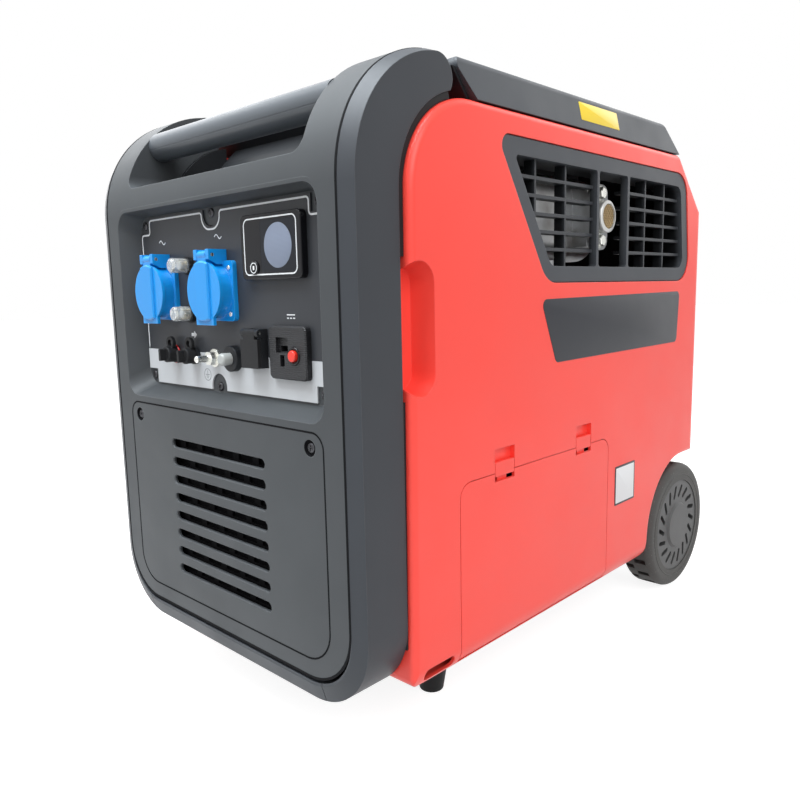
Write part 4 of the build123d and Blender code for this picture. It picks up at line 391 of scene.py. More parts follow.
class Graph:
    """Builds the node tree of a material or of the world with short calls."""

    def __init__(self, owner: bpy.types.Material | bpy.types.World) -> None:
        """Switch the owner's nodes on."""
        owner.use_nodes = True
        self.owner = owner
        self.tree = owner.node_tree

    @cached_property
    def surface(self) -> bpy.types.Node:
        """The material's Principled surface."""
        return self.tree.nodes["Principled BSDF"]

    @cached_property
    def place(self) -> Socket:
        """Object coordinates."""
        return self.node("TexCoord", {}).outputs["Object"]

    def feed(self, target: Socket, value: Value) -> None:
        """Link a socket to a target, or set a plain value on it."""
        if isinstance(value, Socket):
            self.tree.links.new(value, target)
        elif isinstance(value, tuple):
            target.default_value = (*value, 1.0) if len(target.default_value) == RGBA else value
        else:
            target.default_value = value

    def node(self, kind: str, inputs: dict[str | int, Value], **options: str | int) -> bpy.types.Node:
        """Add a node.

        Args:
            kind: Its type, without the words that all shader nodes share.
            inputs: What goes into its sockets, by their names or numbers.
            options: Settings of the node itself.

        Returns:
            The new node.
        """
        made = self.tree.nodes.new("ShaderNode" + kind)
        for key, option in options.items():
            setattr(made, key, option)
        for key, value in inputs.items():
            self.feed(made.inputs[key], value)
        return made

    def set(self, **values: Value) -> None:
        """Feed the surface's own sockets, with spaces in their names written as underscores."""
        for key, value in values.items():
            self.feed(self.surface.inputs[key.replace("_", " ")], value)

    def noise(self, scale: float, detail: float, place: Socket | None = None) -> Socket:
        """Soft noise from 0 to 1, with `scale` waves a metre."""
        inputs = {"Vector": place or self.place, "Scale": scale, "Detail": detail}
        return self.node("TexNoise", inputs).outputs["Fac"]

    def math(self, operation: str, first: Value, second: Value = 0.0) -> Socket:
        """One arithmetic step."""
        return self.node("Math", {0: first, 1: second}, operation=operation).outputs[0]

    def span(self, value: Value, low: float, high: float, to_low: float, to_high: float) -> Socket:
        """Map a range of values to another, held at its ends."""
        return self.node("MapRange", dict(enumerate((value, low, high, to_low, to_high)))).outputs[0]

    def spread(self, noise: Socket, low: float, high: float) -> Socket:
        """Map the middle of a noise to a range of values."""
        return self.span(noise, *NOISE_MIDDLE, low, high)

    def mix(self, factor: Value, first: Value, second: Value) -> Socket:
        """Blend two colours."""
        inputs = {0: factor, MIX_FIRST: first, MIX_SECOND: second}
        return self.node("Mix", inputs, data_type="RGBA").outputs[MIX_RESULT]

    def tones(self, factor: Socket, colour: Colour, low: float, high: float) -> Socket:
        """Blend between a darker and a lighter tone of a colour."""
        return self.mix(factor, shade(colour, low), shade(colour, high))

    def axis(self, number: int) -> Socket:
        """One of the three object coordinates."""
        return self.node("SeparateXYZ", {0: self.place}).outputs[number]

    def bump(self, height: Socket, depth: float, **under: Socket) -> Socket:
        """Normal of a relief from a height, `depth` metres deep, over another Normal if one is given."""
        return self.node("Bump", {"Distance": depth, "Height": height, **under}).outputs["Normal"]

    def soft_edge(self, radius: float) -> Socket:
        """Normal that rounds sharp edges by a radius."""
        return self.node("Bevel", {"Radius": radius}, samples=BEVEL_SAMPLES).outputs["Normal"]

    def edge_mask(self, softened: Socket, low: float, high: float) -> Socket:
        """Mask that is 1 along edges, where the rounded normal leaves the face's own."""
        face = self.node("NewGeometry", {}).outputs["True Normal"]
        dot = self.node("VectorMath", {0: softened, 1: face}, operation="DOT_PRODUCT")
        return self.span(dot.outputs["Value"], high, low, 0.0, 1.0)

    def seen(self) -> Socket:
        """Value that is 1 for camera, glossy and transmission rays, and 0 for light that falls on things."""
        rays = self.node("LightPath", {}).outputs
        mirrored = self.math("MAXIMUM", rays["Is Camera Ray"], rays["Is Glossy Ray"])
        return self.math("MAXIMUM", mirrored, rays["Is Transmission Ray"])


def shade(colour: Colour, factor: float) -> Colour:
    """A colour made lighter or darker by a factor, held below white."""
    return tuple(min(1.0, channel * factor) for channel in colour)


@dataclass(frozen=True)
class Finish:
    """What every material starts from. Noises are given as waves a metre and detail."""

    name: str
    colour: Colour
    roughness: float

    def paint(self, graph: Graph) -> None:
        """Fill the material's node tree."""
        raise NotImplementedError

    def build(self) -> bpy.types.Material:
        """Make the material.

        Returns:
            The finished material.
        """
        graph = Graph(bpy.data.materials.new(self.name))
        self.paint(graph)
        return graph.owner


@dataclass(frozen=True)
class Moulded(Finish):
    """Moulded plastic or rubber: drifting tone, eroded grain, softened edges paled by rub and painted
    highlight.
    """

    drift: float = 0.06
    grain: float = 0.7 * MM
    relief: float = 0.02 * MM
    edge: float = 0.7 * MM
    # Paleness of edges: rubbed wear, and at high settings also a painted highlight.
    rub: float = 0.18
    gloss_spread: float = 0.05
    specular: float = 0.5
    dust: float = 0.0
    ribs: float = 0.0
    # Painted shade inside: X where it is darkest, X where it fades out, and its darkest tone.
    sooted: Pair | None = None
    inner_shade_tone: float = 0.16
    tone_noise: Pair = (9.0, 3.0)
    edge_noise: Pair = (60.0, 3.0)
    edge_range: Pair = (0.90, 0.995)
    edge_pale: Pair = (0.75, 0.12)
    dust_noise: Pair = (420.0, 4.0)
    dust_range: Pair = (0.62, 0.75)
    dust_colour: Colour = (0.45, 0.43, 0.40)
    smear_noise: Pair = (22.0, 4.0)
    smear_range: Pair = (0.25, 0.75)
    grain_detail: float = 2.0

    def paint(self, graph: Graph) -> None:
        """Fill the material's node tree."""
        cloud = graph.spread(graph.noise(*self.tone_noise), 0.0, 1.0)
        base = graph.tones(cloud, self.colour, 1.0 - self.drift, 1.0 + self.drift)
        softened = graph.soft_edge(self.edge)
        # Pale edges: rubbed wear, and at high settings a painted highlight along the edges.
        edges = graph.edge_mask(softened, *self.edge_range)
        rub_and_highlight_mask = graph.math("MULTIPLY", edges, graph.noise(*self.edge_noise))
        kept, lift = self.edge_pale
        pale = tuple(kept * channel + lift for channel in shade(self.colour, 1.0 + 2.0 * self.rub))
        coloured = graph.mix(graph.math("MULTIPLY", rub_and_highlight_mask, self.rub), base, pale)
        if self.dust:
            speck = graph.span(graph.noise(*self.dust_noise), *self.dust_range, 0.0, self.dust)
            coloured = graph.mix(speck, coloured, self.dust_colour)
        # Painted shade: the colour darkens with depth inside along X, where shade falls between the louvre's
        # slats.
        if self.sooted:
            inner_shade_mask = graph.span(graph.axis(0), *self.sooted, 1.0, 0.0)
            coloured = graph.mix(inner_shade_mask, coloured, shade(self.colour, self.inner_shade_tone))
        pebbles = graph.noise(1.0 / self.grain, self.grain_detail)
        if self.ribs:
            wave = graph.math("SINE", graph.math("MULTIPLY", graph.axis(2), 2.0 * math.pi / self.ribs))
            pebbles = graph.math("ADD", pebbles, wave)
        low, high = self.roughness - self.gloss_spread, self.roughness + self.gloss_spread
        graph.set(
            Base_Color=coloured,
            Roughness=graph.span(graph.noise(*self.smear_noise), *self.smear_range, low, high),
            Normal=graph.bump(pebbles, self.relief, Normal=softened),
            Specular_IOR_Level=self.specular,
        )


@dataclass(frozen=True)
class Metal(Finish):
    """Bare or plated metal: brushed streaks or cast pits, stains and a soft edge."""

    stain: Colour = (0.30, 0.27, 0.22)
    stained: float = 0.15
    streak: Place = (900.0, 900.0, 60.0)
    relief: float = 0.01 * MM
    edge: float = 0.4 * MM
    stain_noise: Pair = (35.0, 5.0)
    stain_range: Pair = (0.45, 0.75)
    streak_noise: Pair = (1.0, 2.0)
    gloss_spread: Pair = (-0.08, 0.1)

    def paint(self, graph: Graph) -> None:
        """Fill the material's node tree."""
        patch = graph.span(graph.noise(*self.stain_noise), *self.stain_range, 0.0, self.stained)
        stretched = graph.node("Mapping", {"Vector": graph.place, "Scale": self.streak}).outputs["Vector"]
        lines = graph.noise(*self.streak_noise, stretched)
        low, high = (self.roughness + shift for shift in self.gloss_spread)
        graph.set(
            Base_Color=graph.mix(patch, self.colour, self.stain),
            Roughness=graph.spread(lines, low, high),
            Normal=graph.bump(lines, self.relief, Normal=graph.soft_edge(self.edge)),
            Metallic=1.0,
        )


@dataclass(frozen=True)
class Clear(Finish):
    """Clear or tinted plastic with faint haze."""

    passed: float
    haze: float = 0.06
    haze_noise: Pair = (180.0, 3.0)
    haze_tone: float = 0.94
    ior: float = 1.45

    def paint(self, graph: Graph) -> None:
        """Fill the material's node tree."""
        cloud = graph.noise(*self.haze_noise)
        graph.set(
            Base_Color=graph.tones(graph.spread(cloud, 0.0, 1.0), self.colour, self.haze_tone, 1.0),
            Roughness=graph.spread(cloud, self.roughness, self.roughness + self.haze),
            Transmission_Weight=self.passed,
            IOR=self.ior,
        )


@dataclass(frozen=True)
class Printed(Finish):
    """Painted sheet with a pale band along its foot, as screen printed."""

    band: Colour
    band_top: float
    specular: float = 0.25
    cloud_noise: Pair = (14.0, 3.0)
    sheet_tones: Pair = (0.94, 1.06)
    band_tones: Pair = (0.96, 1.02)
    flake_noise: Pair = (2600.0, 2.0)
    flake_relief: float = 0.008 * MM
    gloss_spread: Pair = (-0.05, 0.07)

    def paint(self, graph: Graph) -> None:
        """Fill the material's node tree."""
        cloud = graph.spread(graph.noise(*self.cloud_noise), 0.0, 1.0)
        dark = graph.tones(cloud, self.colour, *self.sheet_tones)
        pale = graph.tones(cloud, self.band, *self.band_tones)
        flakes = graph.noise(*self.flake_noise)
        low, high = (self.roughness + shift for shift in self.gloss_spread)
        graph.set(
            Base_Color=graph.mix(graph.math("LESS_THAN", graph.axis(2), self.band_top), dark, pale),
            Roughness=graph.spread(flakes, low, high),
            Normal=graph.bump(flakes, self.flake_relief),
            Specular_IOR_Level=self.specular,
        )


class Finishes:
    """Every material of the object, made once and handed out by name."""

    def __init__(self, band_top: float) -> None:
        """Make the materials.

        Args:
            band_top: Height of the pale band's upper edge on the control plate.
        """
        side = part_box("louvre_frame")[1].x
        # Painted shade in the louvre: darkest 9 mm in from its side, gone 2 mm in.
        inner_shade_depths = (9.0 * MM, 2.0 * MM)
        sooted = tuple(side - depth for depth in inner_shade_depths)
        casing = {"relief": 0.03 * MM, "edge": 0.9 * MM, "specular": 0.25}
        button = {"drift": 0.03, "relief": 0.005 * MM}
        ink = {"drift": 0.03, "relief": 0.004 * MM, "edge": 0.05 * MM, "rub": 0.0}
        film = {"relief": 0.006 * MM, "edge": 0.2 * MM, "rub": 0.05}
        gloss = {"drift": 0.05, "specular": 0.25}
        red = {"drift": 0.02, "grain": 1.1 * MM, "relief": 0.014 * MM, "rub": 0.14, "edge": 0.9 * MM}
        ribbed = {"relief": 0.12 * MM, "edge": 0.4 * MM, "specular": 0.3, "ribs": 1.5 * MM}
        screen = {"relief": 0.05 * MM, "edge": 0.3 * MM, "rub": 0.05, "specular": 0.1}
        foam = {"grain": 1.6 * MM, "relief": 0.5 * MM, "edge": 0.3 * MM, "specular": 0.05}
        soft = {"drift": 0.12, "relief": 0.025 * MM, "edge": 0.5 * MM, "specular": 0.2}
        handle = {"relief": 0.03 * MM, "edge": 0.5 * MM, "specular": 0.4}
        # Louvre edges paled strongly: a painted highlight as well as rub.
        louvre = {"edge": 0.8 * MM, "rub": 0.5, "specular": 0.25, "sooted": sooted}
        frost = {**film, "drift": 0.20, "relief": 0.03 * MM, "ribs": 0.9 * MM}
        sheet = {"band": (0.55, 0.56, 0.575), "band_top": band_top}
        even = {"streak": (700.0, 700.0, 700.0), "relief": 0.06 * MM}
        coarse = {"streak": (500.0, 500.0, 500.0), "relief": 0.05 * MM}
        recipes = (
            Moulded("red_panel", (0.99, 0.072, 0.052), 0.36, specular=0.4, **red),
            # Grey casing plastics pale their edges strongly: a painted highlight as well as rub.
            Moulded("frame_grey", (0.041, 0.045, 0.052), 0.46, rub=0.5, **casing),
            Moulded("cover_grey", (0.050, 0.055, 0.063), 0.46, rub=0.5, **casing),
            Moulded("fascia_grey", (0.049, 0.053, 0.057), 0.46, rub=0.6, **casing),
            Moulded("black_plastic", (0.013, 0.014, 0.016), 0.46, edge=0.4 * MM, specular=0.2),
            Moulded("louvre_grey", (0.058, 0.063, 0.072), 0.46, **louvre),
            Moulded("ribbed_black", (0.015, 0.015, 0.017), 0.44, **ribbed),
            Moulded("screen_black", (0.005, 0.005, 0.006), 0.80, **screen),
            Moulded("foam_black", (0.007, 0.007, 0.008), 0.92, **foam),
            Moulded("soft_rubber", (0.012, 0.012, 0.013), 0.58, **soft),
            Moulded("handle_rubber", (0.078, 0.087, 0.098), 0.34, **handle),
            Moulded("tyre_rubber", (0.060, 0.058, 0.055), 0.66, drift=0.14, relief=0.05 * MM, dust=0.16),
            Moulded("wheel_plastic", (0.070, 0.070, 0.070), 0.52, drift=0.08, relief=0.03 * MM, dust=0.05),
            Moulded("socket_blue", (0.006, 0.255, 0.66), 0.22, drift=0.03, grain=1.5 * MM, relief=0.008 * MM),
            Moulded("button_white", (0.78, 0.78, 0.76), 0.30, **button),
            Moulded("button_red", (0.75, 0.035, 0.020), 0.28, **button),
            Moulded("button_grey", (0.36, 0.37, 0.36), 0.34, drift=0.05, relief=0.01 * MM),
            Moulded("bezel_black", (0.006, 0.006, 0.008), 0.14, relief=0.004 * MM, edge=0.4 * MM, **gloss),
            Moulded("lens_black", (0.006, 0.008, 0.013), 0.06, relief=0.002 * MM, edge=0.2 * MM, **gloss),
            Moulded("tank_black", (0.022, 0.022, 0.024), 0.55, relief=0.05 * MM),
            Moulded("tray_black", (0.018, 0.018, 0.019), 0.45, relief=0.04 * MM, dust=0.08),
            Moulded("ink_white", (0.74, 0.75, 0.76), 0.45, **ink),
            Moulded("ink_grey", (0.16, 0.17, 0.18), 0.45, **ink),
            Moulded("ring_red", (0.52, 0.020, 0.018), 0.35, drift=0.04, relief=0.006 * MM, edge=0.2 * MM),
            Moulded("film_dark", (0.044, 0.046, 0.053), 0.36, specular=0.2, **film),
            Moulded("film_white", (0.80, 0.81, 0.82), 0.38, drift=0.02, **film),
            Moulded("film_yellow", (0.86, 0.62, 0.030), 0.36, drift=0.03, **film),
            Moulded("film_frost", (0.17, 0.20, 0.27), 0.46, **frost),
            Metal("zinc", (0.72, 0.72, 0.68), 0.28, stain=(0.52, 0.46, 0.34)),
            Metal("black_screw", (0.06, 0.06, 0.065), 0.36, stain=(0.10, 0.09, 0.08)),
            Metal("cast_alloy", (0.52, 0.53, 0.54), 0.42, **even),
            Metal("outlet_alloy", (0.50, 0.50, 0.49), 0.46, **coarse),
            Metal("muffler_steel", (0.48, 0.49, 0.50), 0.38, stain=(0.20, 0.18, 0.16), stained=0.7),
            Metal("rotor_steel", (0.42, 0.42, 0.43), 0.35),
            Metal("arrester_wire", (0.42, 0.31, 0.17), 0.42, stain=(0.20, 0.13, 0.07), stained=0.6),
            Metal("brass", (0.80, 0.70, 0.48), 0.34, stain=(0.55, 0.44, 0.26)),
            Clear("clear_boot", (0.90, 0.91, 0.90), 0.22, passed=0.82),
            Printed("printed_plate", (0.036, 0.038, 0.043), 0.38, **sheet),
        )
        self.made = {recipe.name: recipe.build() for recipe in recipes}

    def __getitem__(self, name: str) -> bpy.types.Material:
        """Material with this name."""
        return self.made[name]

    def dress(self, nodes: dict[str, tuple[str, ...]]) -> None:
        """Give nodes of the frame their materials.

        Args:
            nodes: Names of nodes under the name of their material.
        """
        for finish, names in nodes.items():
            for name in names:
                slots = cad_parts[name].data.materials
                slots.clear()
                slots.append(self[finish])
                LOG.info("%s: %s", name, finish)


NODE_FINISHES: dict[str, tuple[str, ...]] = {
    "red_panel": ("right_side_panel", "left_side_panel", "maintenance_door")
    + ("door_latch_front", "door_latch_rear"),
    "frame_grey": ("front_frame_right", "front_frame_left", "front_lower_bar"),
    "cover_grey": ("top_cover",),
    "fascia_grey": ("front_fascia", "intake_cover"),
    "louvre_grey": ("louvre_frame",),
    "screen_black": ("intake_screen",),
    "ribbed_black": ("dc_outlet",),
    "black_plastic": ("rear_panel", "handle_well", "breakers", "usb_port", "engine_knob", "starter_grip")
    + ("eco_switch", "parallel_jacks", "oil_filler_cap", "air_cleaner", "fuel_cap"),
    "soft_rubber": ("usb_flap", "jack_cap_left", "jack_cap_right", "front_feet", "engine_mounts"),
    "handle_rubber": ("handle_grip",),
    "tyre_rubber": ("tyre_right", "tyre_left"),
    "wheel_plastic": ("wheel_right", "wheel_left"),
    "printed_plate": ("control_plate",),
    "socket_blue": ("sockets", "socket_lid_left", "socket_lid_right"),
    "clear_boot": ("breaker_boots",),
    "button_white": ("breaker_button_lower", "breaker_button_upper"),
    "button_red": ("dc_reset_button",),
    "button_grey": ("eco_button",),
    "bezel_black": ("display_bezel", "display_button"),
    "lens_black": ("display_lens",),
    "zinc": ("earth_terminal", "front_screws", "hinge_pins", "handle_tube", "axle"),
    "tank_black": ("fuel_tank",),
    "tray_black": ("base_tray",),
    "cast_alloy": ("engine_block", "generator_housing", "inverter"),
    "rotor_steel": ("flywheel", "starter_pulley"),
    "muffler_steel": ("muffler",),
}


# Studio


@dataclass(frozen=True)
class Lamp:
    """Square soft lamp that points at the middle of the object."""

    name: str
    place: Place
    watts: float
    size: float = 1.6
    tint: Colour = WHITE
    aim: Place = (0.0, 0.0, 0.27)

    def build(self) -> None:
        """Place the lamp."""
        data = bpy.data.lights.new(self.name, "AREA")
        data.size = self.size
        data.energy = self.watts
        data.color = self.tint
        beam = Vector(self.aim) - Vector(self.place)
        turn = beam.to_track_quat("-Z", "Y").to_matrix().to_4x4()
        linked(self.name, data).matrix_world = Matrix.Translation(self.place) @ turn


@dataclass
class Studio:
    """Floor, light and camera, with the camera where the photograph was taken from."""

    lens: float = 33.48
    sensor: float = 36.0
    near: float = 0.01
    eye: Place = (0.5475, -0.6396, 0.367)
    yaw: float = 43.7
    pitch: float = 8.47
    roll: float = 1.22
    fill: float = 0.40
    floor_half: float = 12.0
    floor_colour: Colour = (0.42, 0.42, 0.42)
    floor_roughness: float = 0.9
    floor_specular: float = 0.1
    floor_glow: float = 0.86
    lamps: tuple[Lamp, ...] = (
        Lamp("key", (1.9, -0.9, 1.7), 34.0),
        Lamp("front", (-0.9, -2.1, 1.5), 12.0),
        Lamp("top", (-0.15, -0.6, 1.6), 42.0, 1.0, (0.88, 0.95, 1.0)),
        Lamp("rear", (0.4, 2.2, 1.4), 16.0),
        Lamp("left", (-2.2, 0.2, 1.4), 16.0),
    )

    def camera(self) -> None:
        """Place the camera: yaw about Z, pitch down and a little roll, as solved from straight edges."""
        yaw, pitch, roll = (math.radians(angle) for angle in (self.yaw, self.pitch, self.roll))
        ahead = Vector((-math.sin(yaw) * math.cos(pitch), math.cos(yaw) * math.cos(pitch), -math.sin(pitch)))
        level = Vector((math.cos(yaw), math.sin(yaw), 0.0))
        down = ahead.cross(level)
        right = level * math.cos(roll) + down * math.sin(roll)
        below = down * math.cos(roll) - level * math.sin(roll)
        data = bpy.data.cameras.new("camera")
        data.lens = self.lens
        data.sensor_width = self.sensor
        data.sensor_fit = "HORIZONTAL"
        data.clip_start = self.near
        made = linked("camera", data)
        axes = Matrix((right, -below, -ahead)).transposed().to_4x4()
        made.matrix_world = Matrix.Translation(self.eye) @ axes
        bpy.context.scene.camera = made

    def world(self) -> None:
        """White surroundings, with a lower level for the light that they throw."""
        graph = Graph(bpy.data.worlds.new("studio"))
        back = graph.tree.nodes["Background"]
        graph.feed(back.inputs["Color"], WHITE)
        graph.feed(back.inputs["Strength"], graph.span(graph.seen(), 0.0, 1.0, self.fill, 1.0))
        bpy.context.scene.world = graph.owner

    def floor(self) -> None:
        """Pale floor that reads as white and still takes the object's shadow."""
        half = self.floor_half
        corners = [(-half, -half, 0), (half, -half, 0), (half, half, 0), (-half, half, 0)]
        mesh = bpy.data.meshes.new("floor")
        mesh.from_pydata(corners, [], [(0, 1, 2, 3)])
        graph = Graph(bpy.data.materials.new("pale_floor"))
        graph.set(Base_Color=self.floor_colour, Roughness=self.floor_roughness)
        graph.set(Specular_IOR_Level=self.floor_specular)
        glow = graph.node("Emission", {"Strength": graph.math("MULTIPLY", graph.seen(), self.floor_glow)})
        both = graph.node("AddShader", {0: graph.surface.outputs[0], 1: glow.outputs[0]})
        graph.feed(graph.tree.nodes["Material Output"].inputs["Surface"], both.outputs[0])
        mesh.materials.append(graph.owner)
        made = linked("floor", mesh)

    def build(self) -> None:
        """Set up the whole studio."""
        bpy.context.scene.view_settings.view_transform = "Standard"
        self.camera()
        self.world()
        for lamp in self.lamps:
            lamp.build()
        self.floor()


# Pieces of the scene's own


@dataclass
class SubAssembly:
    """A group of small pieces that are made together."""

    finishes: Finishes
    datum: Datum

    def add(
        self,
        surface: Surface,
        name: str,
        slot: str,
        finish: str,
        body: Body = Body.CASE,
        smooth_angle: float = 40.0,
    ) -> bpy.types.Object:
        """Turn a surface into a piece that rides on a body.

        Args:
            surface: What the piece is made of.
            name: Name of the piece.
            slot: Material slot of the record that it belongs to; not used.
            finish: Name of its material.
            body: Body that carries it.
            smooth_angle: Angle in degrees below which neighbouring faces shade as one.

        Returns:
            The new object, at the origin, with its place in its mesh.
        """
        mesh = surface.mesh(name, smooth_angle)
        mesh.materials.append(self.finishes[finish])
        made = linked(name, mesh)
        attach(made, body.value)
        LOG.info("%s: %d faces on %s", name, len(mesh.polygons), body.value)
        return made


@dataclass
class PanelPrint(SubAssembly):
    """White outline and generic signs printed on the control plate."""

    ink: float = 0.06 * MM
    outline_width: float = 1.5 * MM
    outline_inset: float = 2.2 * MM
    outline_foot: float = 33.5 * MM
    outline_step: Pair = (15.0 * MM, 13.0 * MM)
    outline_end: float = 0.3 * MM
    outline_bend: float = 3.0 * MM
    notch_middle: float = -13.0 * MM
    notch_half: float = 11.5 * MM
    notch_depth: float = 14.5 * MM
    notch_bend: float = 11.0 * MM
    sign_width: float = 0.9 * MM
    wave_height: float = 397.0
    wave_scale: Pair = (1.7 * MM, 1.8 * MM)
    wave_steps: int = 25
    arrow_length: Place = (-54.0, -49.5, -45.0)
    arrow_height: float = 313.5
    arrow_halves: Pair = (1.5, 3.5)
    arrow_bend: float = 0.2 * MM
    arrow_steps: int = 3
    direct_place: Pair = (91.0, 331.0)
    direct_rise: float = 1.3 * MM
    direct_half: float = 5.0 * MM
    dash_half: float = 1.2 * MM
    dash_pitch: float = 3.8 * MM
    earth_place: Pair = (-31.0, 278.5)
    earth_radius: float = 5.2 * MM
    earth_width: float = 0.6 * MM
    earth_stem: Pair = (3.6 * MM, 0.4 * MM)
    earth_bars: Place = (3.0 * MM, 2.0 * MM, 1.0 * MM)
    earth_pitch: float = 1.4 * MM

    def __post_init__(self) -> None:
        """Read the plate's face from the frame."""
        self.low, self.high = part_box("control_plate")
        self.plane = Plane(Facing.FRONT, self.low.y)

    def stroke(self, surface: Surface, centre: np.ndarray, ends: list[Pair], width: float) -> None:
        """Add a straight line between two ends given from a centre."""
        surface.line(np.array(ends) + centre, self.plane, width, self.ink, closed=False)

    def outline(self) -> None:
        """White line inside the plate's edge, stepping in at its corners and round the middle screws."""
        step, drop = self.outline_step
        inset = self.outline_inset
        left, right = self.low.x + inset, self.high.x - inset
        top, foot = self.high.z - inset, self.low.z + self.outline_foot
        half = self.notch_half + inset
        first, second, deep = self.notch_middle - half, self.notch_middle + half, top - self.notch_depth
        before = [(left, foot), (left, top - drop), (left + step, top - drop), (left + step, top)]
        notch = [(first, top), (first, deep), (second, deep), (second, top)]
        after = [(right - step, top), (right - step, top - drop), (right, top - drop), (right, foot)]
        end, bends = [self.outline_end], [self.outline_bend] * 4
        radii = end + bends + [self.notch_bend] * 2 + bends + end
        surface = Surface()
        path = rounded(before + notch + after, radii)
        surface.line(path, self.plane, self.outline_width, self.ink, closed=False)
        self.add(surface, "plate_outline", "panel_plate", "ink_white")

    def signs(self) -> None:
        """Waves over the mains sockets, an arrow and a direct-current sign."""
        surface = Surface()
        turn = np.linspace(0.0, 2.0 * math.pi, self.wave_steps)
        stretch, swing = self.wave_scale
        for lid in (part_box("socket_lid_left"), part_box("socket_lid_right")):
            across = middle(lid).x + (turn - math.pi) * stretch
            wave = np.stack([across, self.datum.up(self.wave_height) + swing * np.sin(turn)], axis=-1)
            surface.line(wave, self.plane, self.sign_width, self.ink, closed=False)
        tail, neck, tip = self.arrow_length
        shaft, barb = self.arrow_halves
        places = [(tail, -shaft), (neck, -shaft), (neck, -barb), (tip, 0.0)]
        places += [(neck, barb), (neck, shaft), (tail, shaft)]
        corners = self.datum.on_front(*((across, self.arrow_height + rise) for across, rise in places))
        arrow = rounded(corners, self.arrow_bend, self.arrow_steps)
        surface.plate(arrow, self.plane, self.ink, INK_FOOT, INK_FOOT)
        centre = np.array(self.datum.on_front(self.direct_place)[0])
        rise, half = self.direct_rise, self.direct_half
        self.stroke(surface, centre, [(-half, rise), (half, rise)], self.sign_width)
        for offset in (-self.dash_pitch, 0.0, self.dash_pitch):
            ends = [(offset - self.dash_half, -rise), (offset + self.dash_half, -rise)]
            self.stroke(surface, centre, ends, self.sign_width)
        self.add(surface, "plate_signs", "panel_plate", "ink_white")

    def earth(self) -> None:
        """Earth sign: a ring, a stem and three bars that grow shorter."""
        surface = Surface()
        centre = np.array(self.datum.on_front(self.earth_place)[0])
        surface.line(circle(self.earth_radius, RING_STEPS) + centre, self.plane, self.earth_width, self.ink)
        self.stroke(surface, centre, [(0.0, height) for height in self.earth_stem], self.earth_width)
        for row, half in enumerate(self.earth_bars):
            drop = -self.earth_pitch * row
            self.stroke(surface, centre, [(-half, drop), (half, drop)], self.earth_width)
        self.add(surface, "earth_sign", "panel_plate", "ink_grey")

    def build(self) -> None:
        """Make all the print."""
        self.outline()
        self.signs()
        self.earth()


